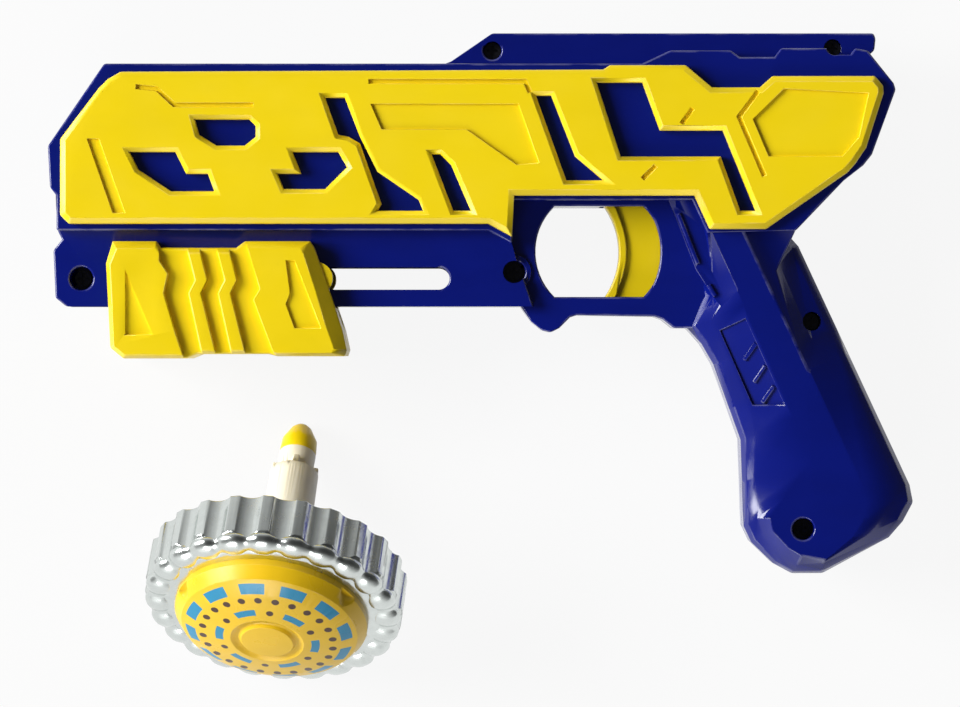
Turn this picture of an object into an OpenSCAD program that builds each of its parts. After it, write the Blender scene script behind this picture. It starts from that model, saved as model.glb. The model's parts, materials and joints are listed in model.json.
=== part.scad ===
// Pump-action launcher for a spinning top, lying on its right side with its top beside it.
// Drawing frame of the launcher: x runs back from the muzzle, y up from the belly of the barrel,
// z to the left from the plane where the two shells meet. placed() lays it down.
// Drawing frame of the top: z runs from its face, below zero, to its tip, from the back of the ring.

/* [Shells] */
// Muzzle to the front of the finger hole
barrel_len = 112; // [110:1:124]
// Belly of the barrel to the deck
deck_h = 56; // [55:0.5:60]
// Height of the top rail above the deck
rail_h = 7.5; // [6:0.5:10]
// Half width of the receiver
receiver_half = 15; // [14.5:0.5:18]
// Half width of the barrel
barrel_half = 11.5; // [10.5:0.5:12]
// Half width of the trigger housing
housing_half = 12.5; // [11:0.5:13.5]
// Half width of the trigger guard
guard_half = 9; // [7.5:0.5:10]
// Half width of the top rail
rail_half = 6.5; // [6:0.5:9]
// Thickness of the shell walls
wall = 1.8; // [1.4:0.1:2.2]
// Length of the finger hole
finger_l = 29; // [27:0.5:30]
// Height of the finger hole
finger_h = 21; // [18:0.5:21]

/* [Grip] */
// Length of the grip's back edge down to its foot
grip_len = 70; // [64:1:84]
// Width of the grip at its waist
grip_w = 30; // [28:0.5:32]
// Width of the grip at its foot
foot_w = 39; // [36:0.5:42]
// Half thickness of the grip
grip_half = 14.5; // [13:0.5:16]
// Lean of the grip from the upright
grip_rake = 25; // [20:1:30]

/* [Panels] */
// Thickness of the side panels
panel_t = 3; // [2.5:0.25:4]
// Width of the panels' bevelled edge
bevel_w = 1.3; // [0.8:0.1:1.6]
// Width of the flare round the panels' windows
flare_w = 1; // [0.3:0.1:1.2]
// Depth of the bevel and of the flare
panel_bevel = 0.9; // [0.5:0.1:1.2]
// Depth of the panels' recesses
relief_d = 0.7; // [0.4:0.1:1.2]
// Diameter of the panel pegs
peg_d = 3; // [2:0.25:4]

/* [Pump] */
// Muzzle to the front of the pump
pump_x = 13.5; // [12:0.5:16]
// Length of the pump
pump_len = 55.5; // [54:0.5:64]
// Drop of the pump below the belly
pump_drop = 12; // [10:0.5:18]
// Travel of the pump
pump_travel = 28; // [22:1:28]
// Diameter of the guide posts
post_d = 4.6; // [4:0.1:5]
// Depth of the pump's grip channel
channel_d = 1.6; // [1:0.1:2]
// Thickness of the pump walls
pump_wall = 2.2; // [1.8:0.1:2.6]

/* [Drive] */
// Height of the drive axis above the belly
drive_y = 27.5; // [27:0.5:29]
// Muzzle to the axis of the crown gear
gear_x = 55; // [54:0.5:56]
// Module of the rack and its pinion
rack_m = 1; // [0.9:0.05:1.1]
// Teeth of the rack pinion
rack_teeth = 12; // [12:1:13]
// Module of the crown gear and the shaft pinion
crown_m = 0.8; // [0.7:0.05:0.85]
// Teeth of the crown gear
crown_teeth = 40; // [36:4:42]
// Teeth of the shaft pinion
shaft_teeth = 8; // [8:1:9]
// Diameter of the output shaft, the gear arbor and the sear pin
pin_d = 3; // [2.5:0.1:3.5]
// Diameter of the launch head
head_d = 14.6; // [13.5:0.1:16]
// Bore of the drive socket
socket_d = 9.4; // [9:0.1:10]
// Depth of the drive socket
socket_l = 12; // [10:0.5:13]
// Outer diameter of the bushes
bush_d = 7; // [6:0.25:7.5]
// Diameter of the spring rod
rod_d = 2.6; // [2:0.1:2.8]

/* [Trigger] */
// Travel of the trigger
trigger_travel = 4; // [3:0.25:4.5]
// Half width of the trigger's front lip
lip_half = 4.8; // [4:0.2:5.5]
// Thickness of the trigger's front lip
lip_t = 1.8; // [1.4:0.1:2.4]
// Width of the sear and the drawbar
sear_w = 5; // [4:0.25:6]

/* [Springs] */
// Wire of the main spring
main_wire = 0.6; // [0.4:0.05:0.7]
// Outer diameter of the main spring
main_od = 6; // [5.4:0.1:6.4]
// Turns of the main spring
main_turns = 12; // [8:1:13]
// Wire of the trigger and sear springs
small_wire = 0.5; // [0.3:0.05:0.6]
// Outer diameter of the trigger and sear springs
small_od = 4.6; // [4:0.1:5]
// Turns of the trigger and sear springs
small_turns = 6; // [4:1:7]

/* [Screws] */
// Diameter of the screw heads
head_screw_d = 3.8; // [3:0.1:4]
// Height of the screw heads
head_screw_h = 1.8; // [1.2:0.1:2.2]
// Diameter of the screw shanks
shank_d = 2.2; // [1.8:0.1:2.6]

/* [Spinning top] */
// Outer radius of the ring
ring_r = 30; // [28:0.5:33]
// Height of the ring's ribbed wall
ring_h = 9.5; // [8:0.5:12]
// Height of the ring's bevel
bevel_h = 3; // [2:0.25:4]
// Radius of the face cap
cap_r = 22.4; // [21.5:0.1:23]
// Height of the domed cap above the ring
dome_h = 8.5; // [6:0.5:11]
// Flutes round the ring
flutes = 24; // [18:2:30]
// Back of the ring to the tip
stem_len = 40; // [36:0.5:48]
// Diameter of the stem's neck
neck_d = 8.6; // [7.6:0.1:8.8]
// Diameter of the stem's collar
collar_d = 11.3; // [10.5:0.1:11.6]
// Length of the tip
tip_l = 8; // [7:0.25:9]
// Radius of the tip's flat end
tip_r = 1.5; // [1:0.1:2]
// Turn of the lying top away from the launcher's upright
top_turn = 8; // [0:1:20]
// Back of the lying ring's middle, from the muzzle
top_x = 53; // [45:1:65]
// Back of the lying ring's middle, below the belly
top_drop = 60.6; // [60:0.2:70]

/* [Clearances] */
// Gap between sliding mouldings
run_gap = 0.3; // [0.2:0.05:0.4]
// Radial gap of a turning fit
turn_gap = 0.05; // [0.02:0.01:0.1]
// Radial gap of a seated fit
seat_gap = 0.02; // [0.01:0.01:0.05]

/* [Hidden] */
$fn = 64;
past = 1;
over = 0.2;
panel_z = receiver_half + panel_t;

// Points behind the finger hole's front edge move with the barrel's length
function back(x, y) = [barrel_len + x, y];
function mix(a, b, t) = a + (b - a) * t;
function unit(v) = v / norm(v);

// Moves each side of an anticlockwise outline inwards by d
function inset(p, d) =
    let (n = len(p))
    [for (i = [0 : n - 1])
        let (
            u = unit(p[i] - p[(i + n - 1) % n]),
            v = unit(p[(i + 1) % n] - p[i]),
            a = [-u.y, u.x],
            b = [-v.y, v.x]
        )
        p[i] + d * (a + b) / (1 + a * b)];

// Outline of a bent line of width w
function stroke(p, w) =
    let (
        n = len(p),
        side = [for (i = [0 : n - 1])
            let (
                u = unit(p[max(i, 1)] - p[max(i, 1) - 1]),
                v = unit(p[min(i, n - 2) + 1] - p[min(i, n - 2)]),
                a = [-u.y, u.x],
                b = [-v.y, v.x]
            )
            (a + b) / (1 + a * b) * w / 2]
    )
    concat([for (i = [0 : n - 1]) p[i] - side[i]], [for (i = [n - 1 : -1 : 0]) p[i] + side[i]]);

// Solid through stacked rings of equally many points
module loft(rings) {
    n = len(rings[0]);
    last = len(rings) - 1;
    sides = [for (k = [0 : last - 1]) for (i = [0 : n - 1])
        let (a = k * n + i, b = k * n + (i + 1) % n)
        each [[a, a + n, b], [b, a + n, b + n]]];
    polyhedron(
        points = [for (r = rings) each r],
        faces = concat([[for (i = [0 : n - 1]) i]], sides, [[for (i = [n - 1 : -1 : 0]) last * n + i]])
    );
}
function ring_at(p, z) = [for (q = p) [q.x, q.y, z]];
function between(a, b, t) = [for (i = [0 : len(a) - 1]) mix(a[i], b[i], t)];

// Cuts a loft that runs past both ends off flat
module trimmed(z0, z1) intersection() {
    children();
    translate([-launcher_len, -launcher_len, z0]) cube([3 * launcher_len, 3 * launcher_len, z1 - z0]);
}

module rod_z(d, p, z0, z1) translate([p.x, p.y, z0]) cylinder(d = d, h = z1 - z0);
module slab(p, z0, z1) translate([0, 0, z0]) linear_extrude(z1 - z0) polygon(p);

// Receiver, barrel, guard, housing and rail in side view
receiver = [
    [2, 17.5], back(-10.5, 17.5), back(-5, 14.5), back(-4.5, 24.5), back(36.5, 24.5), back(40, 17),
    back(60.5, 17.5), back(71.5, 29), back(76, 32.5), back(78, 35), back(83.5, deck_h - 6),
    back(83, deck_h - 4.5), back(77, deck_h + 3), back(74, deck_h + 3.5), back(73, deck_h + 2),
    back(69.5, deck_h + 2), back(67.5, deck_h + 3.5), back(57, deck_h + 3.5), back(55.5, deck_h + 1.5),
    back(47.5, deck_h + 1.5), back(45.5, deck_h + 3), back(31.5, deck_h + 3), back(25, deck_h),
    [13, deck_h], [0, deck_h - 19], [0.5, 27.5], [2, 25.5]
];
receiver_room = inset([
    [2, 17.5], back(-10.5, 17.5), back(-4.5, 24.5), back(62, 24.5), back(71.5, 29), back(78, 35),
    back(83.5, deck_h - 6), back(77, deck_h), [13, deck_h], [0, deck_h - 19], [2, 25.5]
], wall);
barrel = [
    [4, 0], back(0, 0), back(-6.5, 19), back(-6.5, 30), [4, 30], [2, 17.5], [3, 15.5], [1, 13], [1.5, 2]
];
barrel_room = inset([[4, 0], back(0, 0), back(-6.5, 19), back(-6.5, 30), [3, 30], [3, 2]], wall);
guard = [
    back(-4, 0), back(-3, 0), back(-0.5, -3.5), back(2, -5.5), back(4, -6), back(6, -5), back(8.5, -2.5),
    back(10, -2), back(28, -2.3), back(30, -3), back(32.5, -5), back(48, -5), back(48, 26), back(-6.5, 26),
    back(-6.5, 19)
];
housing = [
    back(37.5, 8.5), back(42, 1.5), back(47.5, -5), back(50, -5), back(57, 10), back(60.5, 17.5),
    back(60, 26),
    back(31, 26), back(31, 25)
];
rail_y = deck_h + rail_h;
rail = [
    back(-21.5, deck_h), back(-21.5, deck_h - 3), back(77, deck_h - 3), back(77.5, deck_h + 2),
    back(79.2, deck_h + 3.5), back(79.5, rail_y - 1.2), back(79, rail_y), back(-9.5, rail_y),
    back(-19, deck_h + 1)
];

// Finger hole: two arcs cut off flat above and below
finger_y = 12.75;
finger_x = 0.5;
arc_front = 14.7;
arc_back = 18;

// Grip in its own frame, as distances down its back edge and forward from it: edge, face and ridge
grip_root = [61.5, 14];
grip_rows = [
    [[0, 0], [1, 6], [0, 10.5]], [[21, 0], [21.5, 6.6], [21, 10.5]], [[27, 0], [27, 2.6], [27, 10.3]],
    [[grip_len - 9, 0], [grip_len - 11, 3.1], [grip_len - 12, 10.2]],
    [[grip_len - 5, 1], [grip_len - 8, 4.4], [grip_len - 9.5, 11.5]],
    [[grip_len - 2, 5], [grip_len - 5.5, 8.5], [grip_len - 6.5, 14]],
    [[grip_len, 9.5], [grip_len - 3, 12.5], [grip_len - 4, 17.5]],
    [[grip_len + 1, 27], [grip_len - 1.2, 26], [grip_len - 2, 25.5]],
    [[grip_len - 2, 33.5], [grip_len - 3.5, 31.5], [grip_len - 5, 30]],
    [[grip_len - 6, 36.5], [grip_len - 7, 34], [grip_len - 8, 32]],
    [[grip_len - 12.5, foot_w], [grip_len - 13, foot_w - 3.4], [grip_len - 13, foot_w - 5.4]],
    [[grip_len - 16.5, foot_w], [grip_len - 17, foot_w - 3.6], [grip_len - 16, foot_w - 6]],
    [[grip_len - 20, foot_w - 1.4], [grip_len - 20, foot_w - 5.2], [grip_len - 19.4, foot_w - 12]],
    [[grip_len - 26, foot_w - 4], [grip_len - 26, foot_w - 7.4], [grip_len - 24, 18.8]],
    [[35, grip_w + 1.2], [35, grip_w - 2.6], [35, 18.2]],
    [[27.5, grip_w + 0.5], [27.5, grip_w - 3.4], [27.5, 18]],
    [[16.5, grip_w - 0.5], [16.5, grip_w - 4], [16.5, 17.8]],
    [[11, grip_w], [11, grip_w - 4], [11, 17.8]],
    [[6.2, grip_w + 1.5], [7, grip_w - 4], [6.5, 17.6]], [[1, 25], [2, 23], [3, 17.4]],
    [[-13, 21], [-13, 19], [-13, 17]], [[-10, 3], [-10, 6], [-10, 10.5]]
];
// Depths below the ridge at which the sides, the shoulder and the face end
side_z = 7;
shoulder_z = 5;
face_z = 3.2;
shoulder = 0.3;
function grip_at(s, u) =
    back(grip_root.x, grip_root.y)
    + s * [sin(grip_rake), -cos(grip_rake)] - u * [cos(grip_rake), sin(grip_rake)];
function grip_ring(level, d) =
    let (n = len(grip_rows), from = floor(min(level, 1)))
    inset([for (i = [n - 1 : -1 : 0])
        let (q = mix(grip_rows[i][from], grip_rows[i][from + 1], level - from))
        grip_at(q.x, q.y)], d);
module grip_solid() trimmed(0, grip_half) loft([
    ring_at(grip_ring(0, 0), -past), ring_at(grip_ring(0, 0), grip_half - side_z),
    ring_at(grip_ring(shoulder, 0), grip_half - shoulder_z), ring_at(grip_ring(1, 0), grip_half - face_z),
    ring_at(grip_ring(2 + over / face_z, 0), grip_half + over)
]);
module grip_room() trimmed(-past, grip_half - wall) loft([
    ring_at(grip_ring(0, wall), -2 * past), ring_at(grip_ring(0, wall), grip_half - side_z - wall),
    ring_at(grip_ring(shoulder, wall), grip_half - shoulder_z - wall),
    ring_at(grip_ring(1, wall), grip_half - face_z - wall),
    ring_at(grip_ring(2 + over / face_z, wall), grip_half - wall + over)
]);
// Sunk field with slanted bars on the facet in front of the ridge, in the facet's own plane
facet_from = 17.9;
facet_tilt = 21.5;
facet_d = 0.6;
facet_field = [[10, -0.8], [10, -7.6], [28.6, -8], [31.6, -1]];
bar_at = [[17.3, -3.2], [22.9, -3.4], [28, -3.6]];
bar_size = [4.8, 1];
bar_turn = 60;
// Slanted ribs on the housing
rib_lines = [[back(33.4, 21.5), back(38, 9.8)], [back(40.4, 5), back(42, 2.4)]];
rib_w = 1.1;
rib_h = 0.7;
launcher_len = max([for (p = grip_ring(0, 0)) p.x]);

// Small parts of the drive, the catch and the top
housing_low = -5;
head_web = 3;
head_hub = 1.6;
dog_w = 1.6;
dog_front = 0.6;
crown_slack = 0.16;
arbor_half = receiver_half - wall;
spring_gap = 0.15;
rod_lead = 2;
riser_x = 30;
sear_arm = 4;
sear_top = 2;
sear_turns = 5;
ring_top = ring_h + bevel_h;
shelf_front = 7.2;
shelf_back = 3.8;
hub_front = 3.7;
hub_back = 1;
weight_t = 3.2;
post_r = 12.5;
nub_r = 7;
collar_z = stem_len - 13.5;
neck_z = stem_len - tip_l;
spigot_d = 4;
spigot_l = 4;

// Drive train
pinion_r = rack_m * rack_teeth / 2;
crown_r = crown_m * crown_teeth / 2;
shaft_r = crown_m * shaft_teeth / 2;
pressure = 25;
rack_y = drive_y - pinion_r;
rack_z = 1.5;
rack_half = 3;
rack_root = rack_y - 1.2 * rack_m;
rack_tip = rack_y + 0.9 * rack_m;
rack_low = rack_root - 5.8;
rack_x0 = gear_x - pump_travel - 5;
teeth_x1 = gear_x + 5;
catch_l = 4;
rack_x1 = teeth_x1 + 2 * catch_l;
backlash = 0.14;
crown_tip = -shaft_r + 0.7 * crown_m;
crown_root = -shaft_r - 1.2 * crown_m;
crown_back = crown_root - 2.5;
crown_face = 4.2;
pinion_top = rack_z + rack_half + 0.4;
shaft_face = 3.6;
shaft_x1 = gear_x - crown_r + shaft_face / 2;
head_x0 = 1.2;
dog_l = 3;
dog_d = 12.2;
head_x1 = head_x0 + dog_l + socket_l + head_web;
bush_l = 3;
flange_t = 0.8;
bush_x = [head_x1 + 3, gear_x - crown_r - shaft_face / 2 - 2 * flange_t - bush_l];

// Side slots, guide posts and springs
slot_y = 6.5;
slot_h = post_d + 2 * run_gap;
slider_low = 3.2;
spring_y = (rack_low + rack_root) / 2;
seat_x = barrel_len - 6;
seat_deep = 3;
bore_l = pump_travel + 3;

// Trigger, drawbar and sear
blade_r = 18.3;
blade_x = 1.7;
blade_y0 = finger_y - finger_h / 2 - 1.2;
blade_y1 = finger_y + finger_h / 2 + 1.2;
blade_back = 35;
web_half = lip_half - 1;
trigger_seat = 47;
bar_y = deck_h - 10;
bar_h = 3;
hook_y = rack_tip + run_gap;
sear_l = 14.3;
sear_drop = 8.3;
sear_tooth = 2.4;
sear_under = 3.5;
sear_at = [rack_x1 - catch_l + pump_travel - run_gap + sear_l, hook_y + sear_drop];
shelf_x = sear_at.x - 10;
shelf_y = sear_at.y + 9.3;

// Screws: place, hole radius, top of the boss, seat of the head, end of the shank
case_screw_rows = [
    [[7.5, 6.5], 2.7, barrel_half - wall, 4, -7], [back(-4.5, 8), 2.6, barrel_half - wall, 4, -7],
    [back(-9.5, deck_h + 3.5), 2.1, 0, 2.5, -4.5], [back(69.5, deck_h + 4), 2.1, 0, 2.5, -4.5],
    [grip_at(17, 4.7), 2.2, 8, 4, -6], [grip_at(grip_len - 10.5, 27), 2.5, grip_half - wall, 4, -7]
];
boss_wall = 1.4;
pilot_gap = 0.5;

// Lying top: it rests on two rib edges of its ring and on its tip
flute_r = 4;
flute_at = ring_r + 2.8;
contact_r = (ring_r ^ 2 + flute_at ^ 2 - flute_r ^ 2) / (2 * flute_at);
lie = atan2(contact_r - tip_r, stem_len);
top_low = -top_drop - ring_h * cos(lie) - ring_r * sin(lie);
frame_y = -(rail_y + top_low) / 2;

module placed() translate([-launcher_len / 2, frame_y, panel_z]) children();
module top_placed()
    translate([top_x - launcher_len / 2, frame_y - top_drop, contact_r * cos(lie)])
        rotate([0, 0, -top_turn]) rotate([-90 - lie, 0, 0]) children();
module right_side() mirror([0, 0, 1]) children();

// Gear outline with involute flanks
function involute(r, base) = let (a = acos(min(1, base / r))) tan(a) * 180 / PI - a;
function gear_points(teeth, m) =
    let (
        pitch = teeth * m / 2,
        base = pitch * cos(pressure),
        foot = pitch - 1.2 * m,
        tip = pitch + 0.9 * m,
        low = max(base, foot),
        half = 90 / teeth - backlash / pitch * 180 / PI / 2 + involute(pitch, base),
        flank = [for (k = [0 : 3]) let (r = mix(low, tip, k / 3)) [r, half - involute(r, base)]]
    )
    [for (i = [0 : teeth - 1])
        let (mid = 360 / teeth * i)
        each concat(
            [foot * [cos(mid - half - 1), sin(mid - half - 1)]],
            [for (f = flank) f[0] * [cos(mid - f[1]), sin(mid - f[1])]],
            [for (k = [3 : -1 : 0]) flank[k][0] * [cos(mid + flank[k][1]), sin(mid + flank[k][1])]],
            [foot * [cos(mid + half + 1), sin(mid + half + 1)]]
        )];

// Side panel in side view: outline, windows, sunk fields and scored lines
panel = [
    [5, 19], back(-10.5, 19), back(-5, 16), back(-4.5, 25.5), back(37, 25.5), back(40.5, 17.8),
    back(53.5, 17.8), back(72.2, 30.8), back(74, 32.8), back(76.5, 36.5), back(80.5, deck_h - 7),
    back(80.4, deck_h - 5.2),
    back(78.5, deck_h - 3), back(55, deck_h - 3), back(52, deck_h - 5.6), back(41, deck_h - 5.6),
    back(35, deck_h - 0.5), back(17.5, deck_h - 0.5), back(16, deck_h - 1.5), [17, deck_h - 2],
    [14, deck_h - 3.7], [11.8, deck_h - 5.9], [3, deck_h - 17.5], [3, 21]
];
// Its details are drawn for a panel of this height, and follow the deck
panel_low = 17.5;
drawn_h = 38.5;
function raised(p) = [for (q = p) [q.x, panel_low + (q.y - panel_low) * (deck_h - panel_low) / drawn_h]];
windows = [for (p = [
    [[34, 43], [35, 39.5], [39, 37], [45.5, 37], [48, 39], [48, 41.5], [46.5, 43]],
    [[19, 35.5], [21, 31.5], [28.5, 26.5], [38.5, 26.5], [37, 30.5], [32, 30.5], [29.5, 35.5]],
    [[56.5, 35.5], [58.5, 30.5], [53, 30.5], [54.5, 27], [64, 27], [69, 32], [67, 35.5]],
    [[64, 48], [67, 39.5], [69.5, 39], [72, 37.5], [77, 23.5], [76, 22], [86.5, 22], [85.5, 24.5],
     [76, 31], [72, 39], [68.5, 48]],
    [[88.5, 35], [93.5, 22], [97.5, 22], [93, 32.5], [90.5, 35]],
    [back(0.5, 48.5), back(7.5, 29), back(16, 29), back(9.5, 34.5), back(4, 48.5)],
    [back(14.5, 51.5), back(20, 34.5), back(43, 34.5), back(47.5, 22), back(51, 22), back(43.5, 40.5),
     back(29, 40.5), back(25, 51.5)]
]) raised(p)];
panel_recesses = [for (p = [
    [[9.3, 38.5], [15.2, 21.5], [18, 21.5], [12, 38.5]],
    [[77, 40.7], [96.5, 40.7], back(-4, 32.6), back(1.2, 33), back(-3.5, 46.5), [74.5, 46.5]],
    [back(57.5, 50), back(50.4, 43), back(54, 34.5), back(71, 34.5), back(74.8, 39), back(77, 49)]
]) raised(p)];
panel_lines = [for (p = [
    [[20.5, 50.5], [25.3, 50], [29.3, 46.3], [47.5, 46.3]],
    [[74, 51.7], back(-2, 51.7), back(-0.9, 49.2)],
    [back(51.6, 49.5), back(47.2, 43.6), back(53, 30)],
    [back(36.5, 45.5), back(34, 42)], [back(28, 32.3), back(25, 29.3)]
]) raised(p)];
line_w = 1;
peg_places = raised([[24, 42], [50, 24], [84, 36], back(62, 42)]);

// Pump in side view: outline, flat face, channel, ribs and sunk fields
pump_bevel = 2.2;
pump_floor = 1.6;
function on_pump(p) = [for (q = p) q + [pump_x, 0]];
pump_low = -pump_drop;
pump_edge = on_pump([
    [4, pump_low], [18.5, pump_low], [21, pump_low + 1], [37.5, pump_low + 1], [39.5, pump_low + 0.5],
    [pump_len - 0.5, pump_low + 0.5], [pump_len, pump_low + 2], [pump_len - 1, pump_low + 6.5],
    [pump_len - 4.5, 5], [pump_len - 7.5, 13.5], [pump_len - 8.5, 15], [32, 15], [30, 13.5], [12.5, 13.5],
    [11.5, 15], [1.5, 15], [0, 10], [0.5, -0.5], [1, pump_low + 2.5]
]);
pump_face = on_pump([
    [4.5, pump_low + 0.7], [18.5, pump_low + 0.7], [21, pump_low + 1.7], [37.5, pump_low + 1.7],
    [39.5, pump_low + 1.2], [pump_len - 3.5, pump_low + 1.2], [pump_len - 3, pump_low + 2.2],
    [pump_len - 4.5, pump_low + 6.5], [pump_len - 7.5, 4.5], [pump_len - 10, 12.2], [pump_len - 10.7, 13.3],
    [32.3, 13.3], [30.3, 12.2], [12.3, 12.2], [11.3, 13.3], [2.5, 13.3], [1, 9.6], [1.5, -0.5],
    [1.8, pump_low + 2.8]
]);
pump_tray = inset(on_pump([
    [1.5, pump_low + 1], [pump_len - 0.3, pump_low + 1], [pump_len - 4.5, 5], [pump_len - 8.2, 13.5], [1, 13.5],
    [0.3, 10], [0.8, 0]
]), pump_wall);
pump_channel = on_pump([
    [12, 16], [12.5, 10.5], [14.5, 7.5], [13.5, 3], [16, -5.5], [18.5, pump_low - 1], [39.5, pump_low - 1],
    [34, 1.5], [35.5, 4], [32, 16]
]);
pump_rib = [
    [18, 16], [20.5, 6], [19, 3], [22.5, pump_low - 1], [26, pump_low - 1], [22, 3], [23.5, 6], [21, 16]
];
pump_rib_x = [0, 6.8];
pump_recesses = [
    on_pump([[4.5, 8.5], [4.5, -6.5], [11, -6.5]]),
    on_pump([[41.5, 10.5], [42.5, 3], [41.5, 0.5], [43.5, -5], [pump_len - 6, -5], [pump_len - 12, 10.5]])
];
pump_seat = barrel_half + run_gap + 1;
pump_grip = 8;
post_x = [pump_x + 14, pump_x + pump_len - 7];

// Helical spring as one closed tube along z, with its least gap to itself printed
wire_sides = 6;
turn_rings = 8;
function coil_point(i, od, wire, turns, length) =
    let (a = 360 / turn_rings * i, r = (od - wire) / 2)
    [r * cos(a), r * sin(a), wire / 2 + (length - wire) * i / (turns * turn_rings)];
function coil_gap(od, wire, turns, length) =
    let (n = turns * turn_rings, p = [for (i = [0 : n]) coil_point(i, od, wire, turns, length)])
    min([for (i = [0 : n]) for (j = [i + turn_rings / 2 : 1 : n]) norm(p[i] - p[j])]) - wire;
function coil_ring(i, od, wire, turns, length) =
    let (
        centre = coil_point(i, od, wire, turns, length),
        a = 360 / turn_rings * i,
        rise = atan2((length - wire) / turns, PI * (od - wire)),
        out = [cos(a), sin(a), 0],
        up = [sin(a) * sin(rise), -cos(a) * sin(rise), cos(rise)]
    )
    [for (k = [0 : wire_sides - 1])
        let (b = 360 / wire_sides * k)
        centre + wire / 2 * cos(rise) * (cos(b) * out - sin(b) * up)];
module coil(od, wire, turns, length) {
    echo(coil_gap = coil_gap(od, wire, turns, length));
    loft([for (i = [0 : turns * turn_rings]) coil_ring(i, od, wire, turns, length)]);
}

// Turns a piece drawn along z to lie along x from a point on the parting plane
module along_x(x, y, z = 0) translate([x, y, z]) rotate([0, 90, 0]) children();

// Colours
blue = [0.06, 0.08, 0.55];
yellow = [0.95, 0.82, 0.05];
steel = [0.75, 0.76, 0.78];
white = [0.92, 0.9, 0.84];
grey = [0.45, 0.46, 0.48];

// Left half of the case as a solid, and what is hollow in it
module half_solid() {
    slab(receiver, 0, receiver_half);
    slab(barrel, 0, barrel_half);
    slab(guard, 0, guard_half);
    slab(housing, 0, housing_half);
    for (p = rib_lines) slab(stroke(p, rib_w), housing_half - past, housing_half + rib_h);
    slab(rail, 0, rail_half);
    grip_solid();
}
module half_room() {
    slab(receiver_room, -past, receiver_half - wall);
    slab(barrel_room, -past, barrel_half - wall);
    intersection() {
        grip_room();
        translate([0, housing_low - wall - launcher_len, -2 * past])
            cube([2 * launcher_len, launcher_len, 2 * grip_half]);
    }
}

// Ribs and bosses that reach from one shell's wall to the parting plane or to the piece that they hold
module half_ribs(arbor_z) {
    inner = receiver_half - wall + seat_gap;
    for (x = bush_x)
        translate([x, hook_y + run_gap, 0]) cube([bush_l, drive_y + bush_d / 2 + 3 - hook_y - run_gap, inner]);
    rod_z(pin_d + 2 * boss_wall, [gear_x, drive_y], arbor_z, inner);
    rod_z(pin_d + 2 * boss_wall, sear_at, sear_w / 2 + run_gap, inner);
    translate([shelf_x - 3, shelf_y, 0]) cube([6, 2, inner]);
    for (s = case_screw_rows) if (s[2] > 0) rod_z(2 * s[1] + 2 * boss_wall, s[0], 0, s[2]);
}

// What is cut from both shells, in the frame of the whole launcher
module case_cuts() {
    reach = 2 * panel_z;
    translate([barrel_len, 0, -reach / 2]) linear_extrude(reach) intersection() {
        translate([finger_x + arc_front, finger_y]) circle(arc_front);
        translate([finger_x + finger_l - arc_back, finger_y]) circle(arc_back);
        translate([0, finger_y - finger_h / 2]) square([finger_l + finger_x + past, finger_h]);
    }
    along_x(-past, drive_y) cylinder(d = head_d + 2 * run_gap, h = head_x1 + past);
    for (x = bush_x) along_x(x - past, drive_y) cylinder(d = bush_d + 2 * seat_gap, h = bush_l + 2 * past);
    rod_z(pin_d + 2 * seat_gap, [gear_x, drive_y], -arbor_half, arbor_half);
    rod_z(pin_d + 2 * seat_gap, sear_at, -arbor_half, arbor_half);
    along_x(gear_x, spring_y, rack_z) cylinder(d = main_od + 4 * run_gap, h = seat_x - gear_x);
    along_x(gear_x, spring_y, rack_z)
        cylinder(d = rod_d + 2 * seat_gap, h = seat_x + seat_deep + seat_gap - gear_x);
    slot_x0 = post_x[0] - slot_h / 2;
    slot_x1 = post_x[1] + pump_travel + slot_h / 2;
    for (x = [slot_x0 + slot_h / 2, slot_x1 - slot_h / 2]) rod_z(slot_h, [x, slot_y], -reach / 2, reach / 2);
    translate([slot_x0 + slot_h / 2, slot_y - slot_h / 2, -reach / 2])
        cube([slot_x1 - slot_x0 - slot_h, slot_h, reach]);
    trigger_room();
    translate([sear_at.x - sear_l - sear_tooth - run_gap, hook_y - run_gap, -sear_w / 2 - run_gap])
        cube([sear_tooth + 2 * run_gap, sear_drop - sear_under + run_gap, sear_w + 2 * run_gap]);
    for (m = [0, 1]) mirror([0, 0, m]) facet_cut();
}
module facet_cut() translate([grip_at(0, facet_from).x, grip_at(0, facet_from).y, grip_half])
    rotate([0, 0, grip_rake - 90]) rotate([facet_tilt, 0, 0]) translate([0, 0, -facet_d])
        linear_extrude(facet_d + past) difference() {
            polygon(facet_field);
            for (p = bar_at) translate(p) rotate(-bar_turn) square(bar_size, center = true);
        }
module trigger_room() {
    half = lip_half + run_gap;
    riser_half = sear_w / 2 + run_gap;
    front = blade_x + sqrt(blade_r ^ 2 - ((blade_y1 - blade_y0) / 2) ^ 2) - run_gap;
    end = blade_back + trigger_travel + run_gap;
    translate([barrel_len + front, blade_y0 - run_gap, -half])
        cube([end - front, blade_y1 - blade_y0 + 2 * run_gap, 2 * half]);
    translate([barrel_len + riser_x - run_gap, blade_y1, -riser_half])
        cube([end - riser_x + run_gap, 4 + wall - blade_y1 + finger_y + finger_h / 2, 2 * riser_half]);
    along_x(barrel_len + blade_back, finger_y)
        cylinder(d = small_od + 4 * run_gap, h = trigger_seat - blade_back);
}
module peg_holes() {
    for (p = peg_places)
        rod_z(peg_d + 2 * seat_gap, p, receiver_half - wall - past, receiver_half + past);
}

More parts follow.
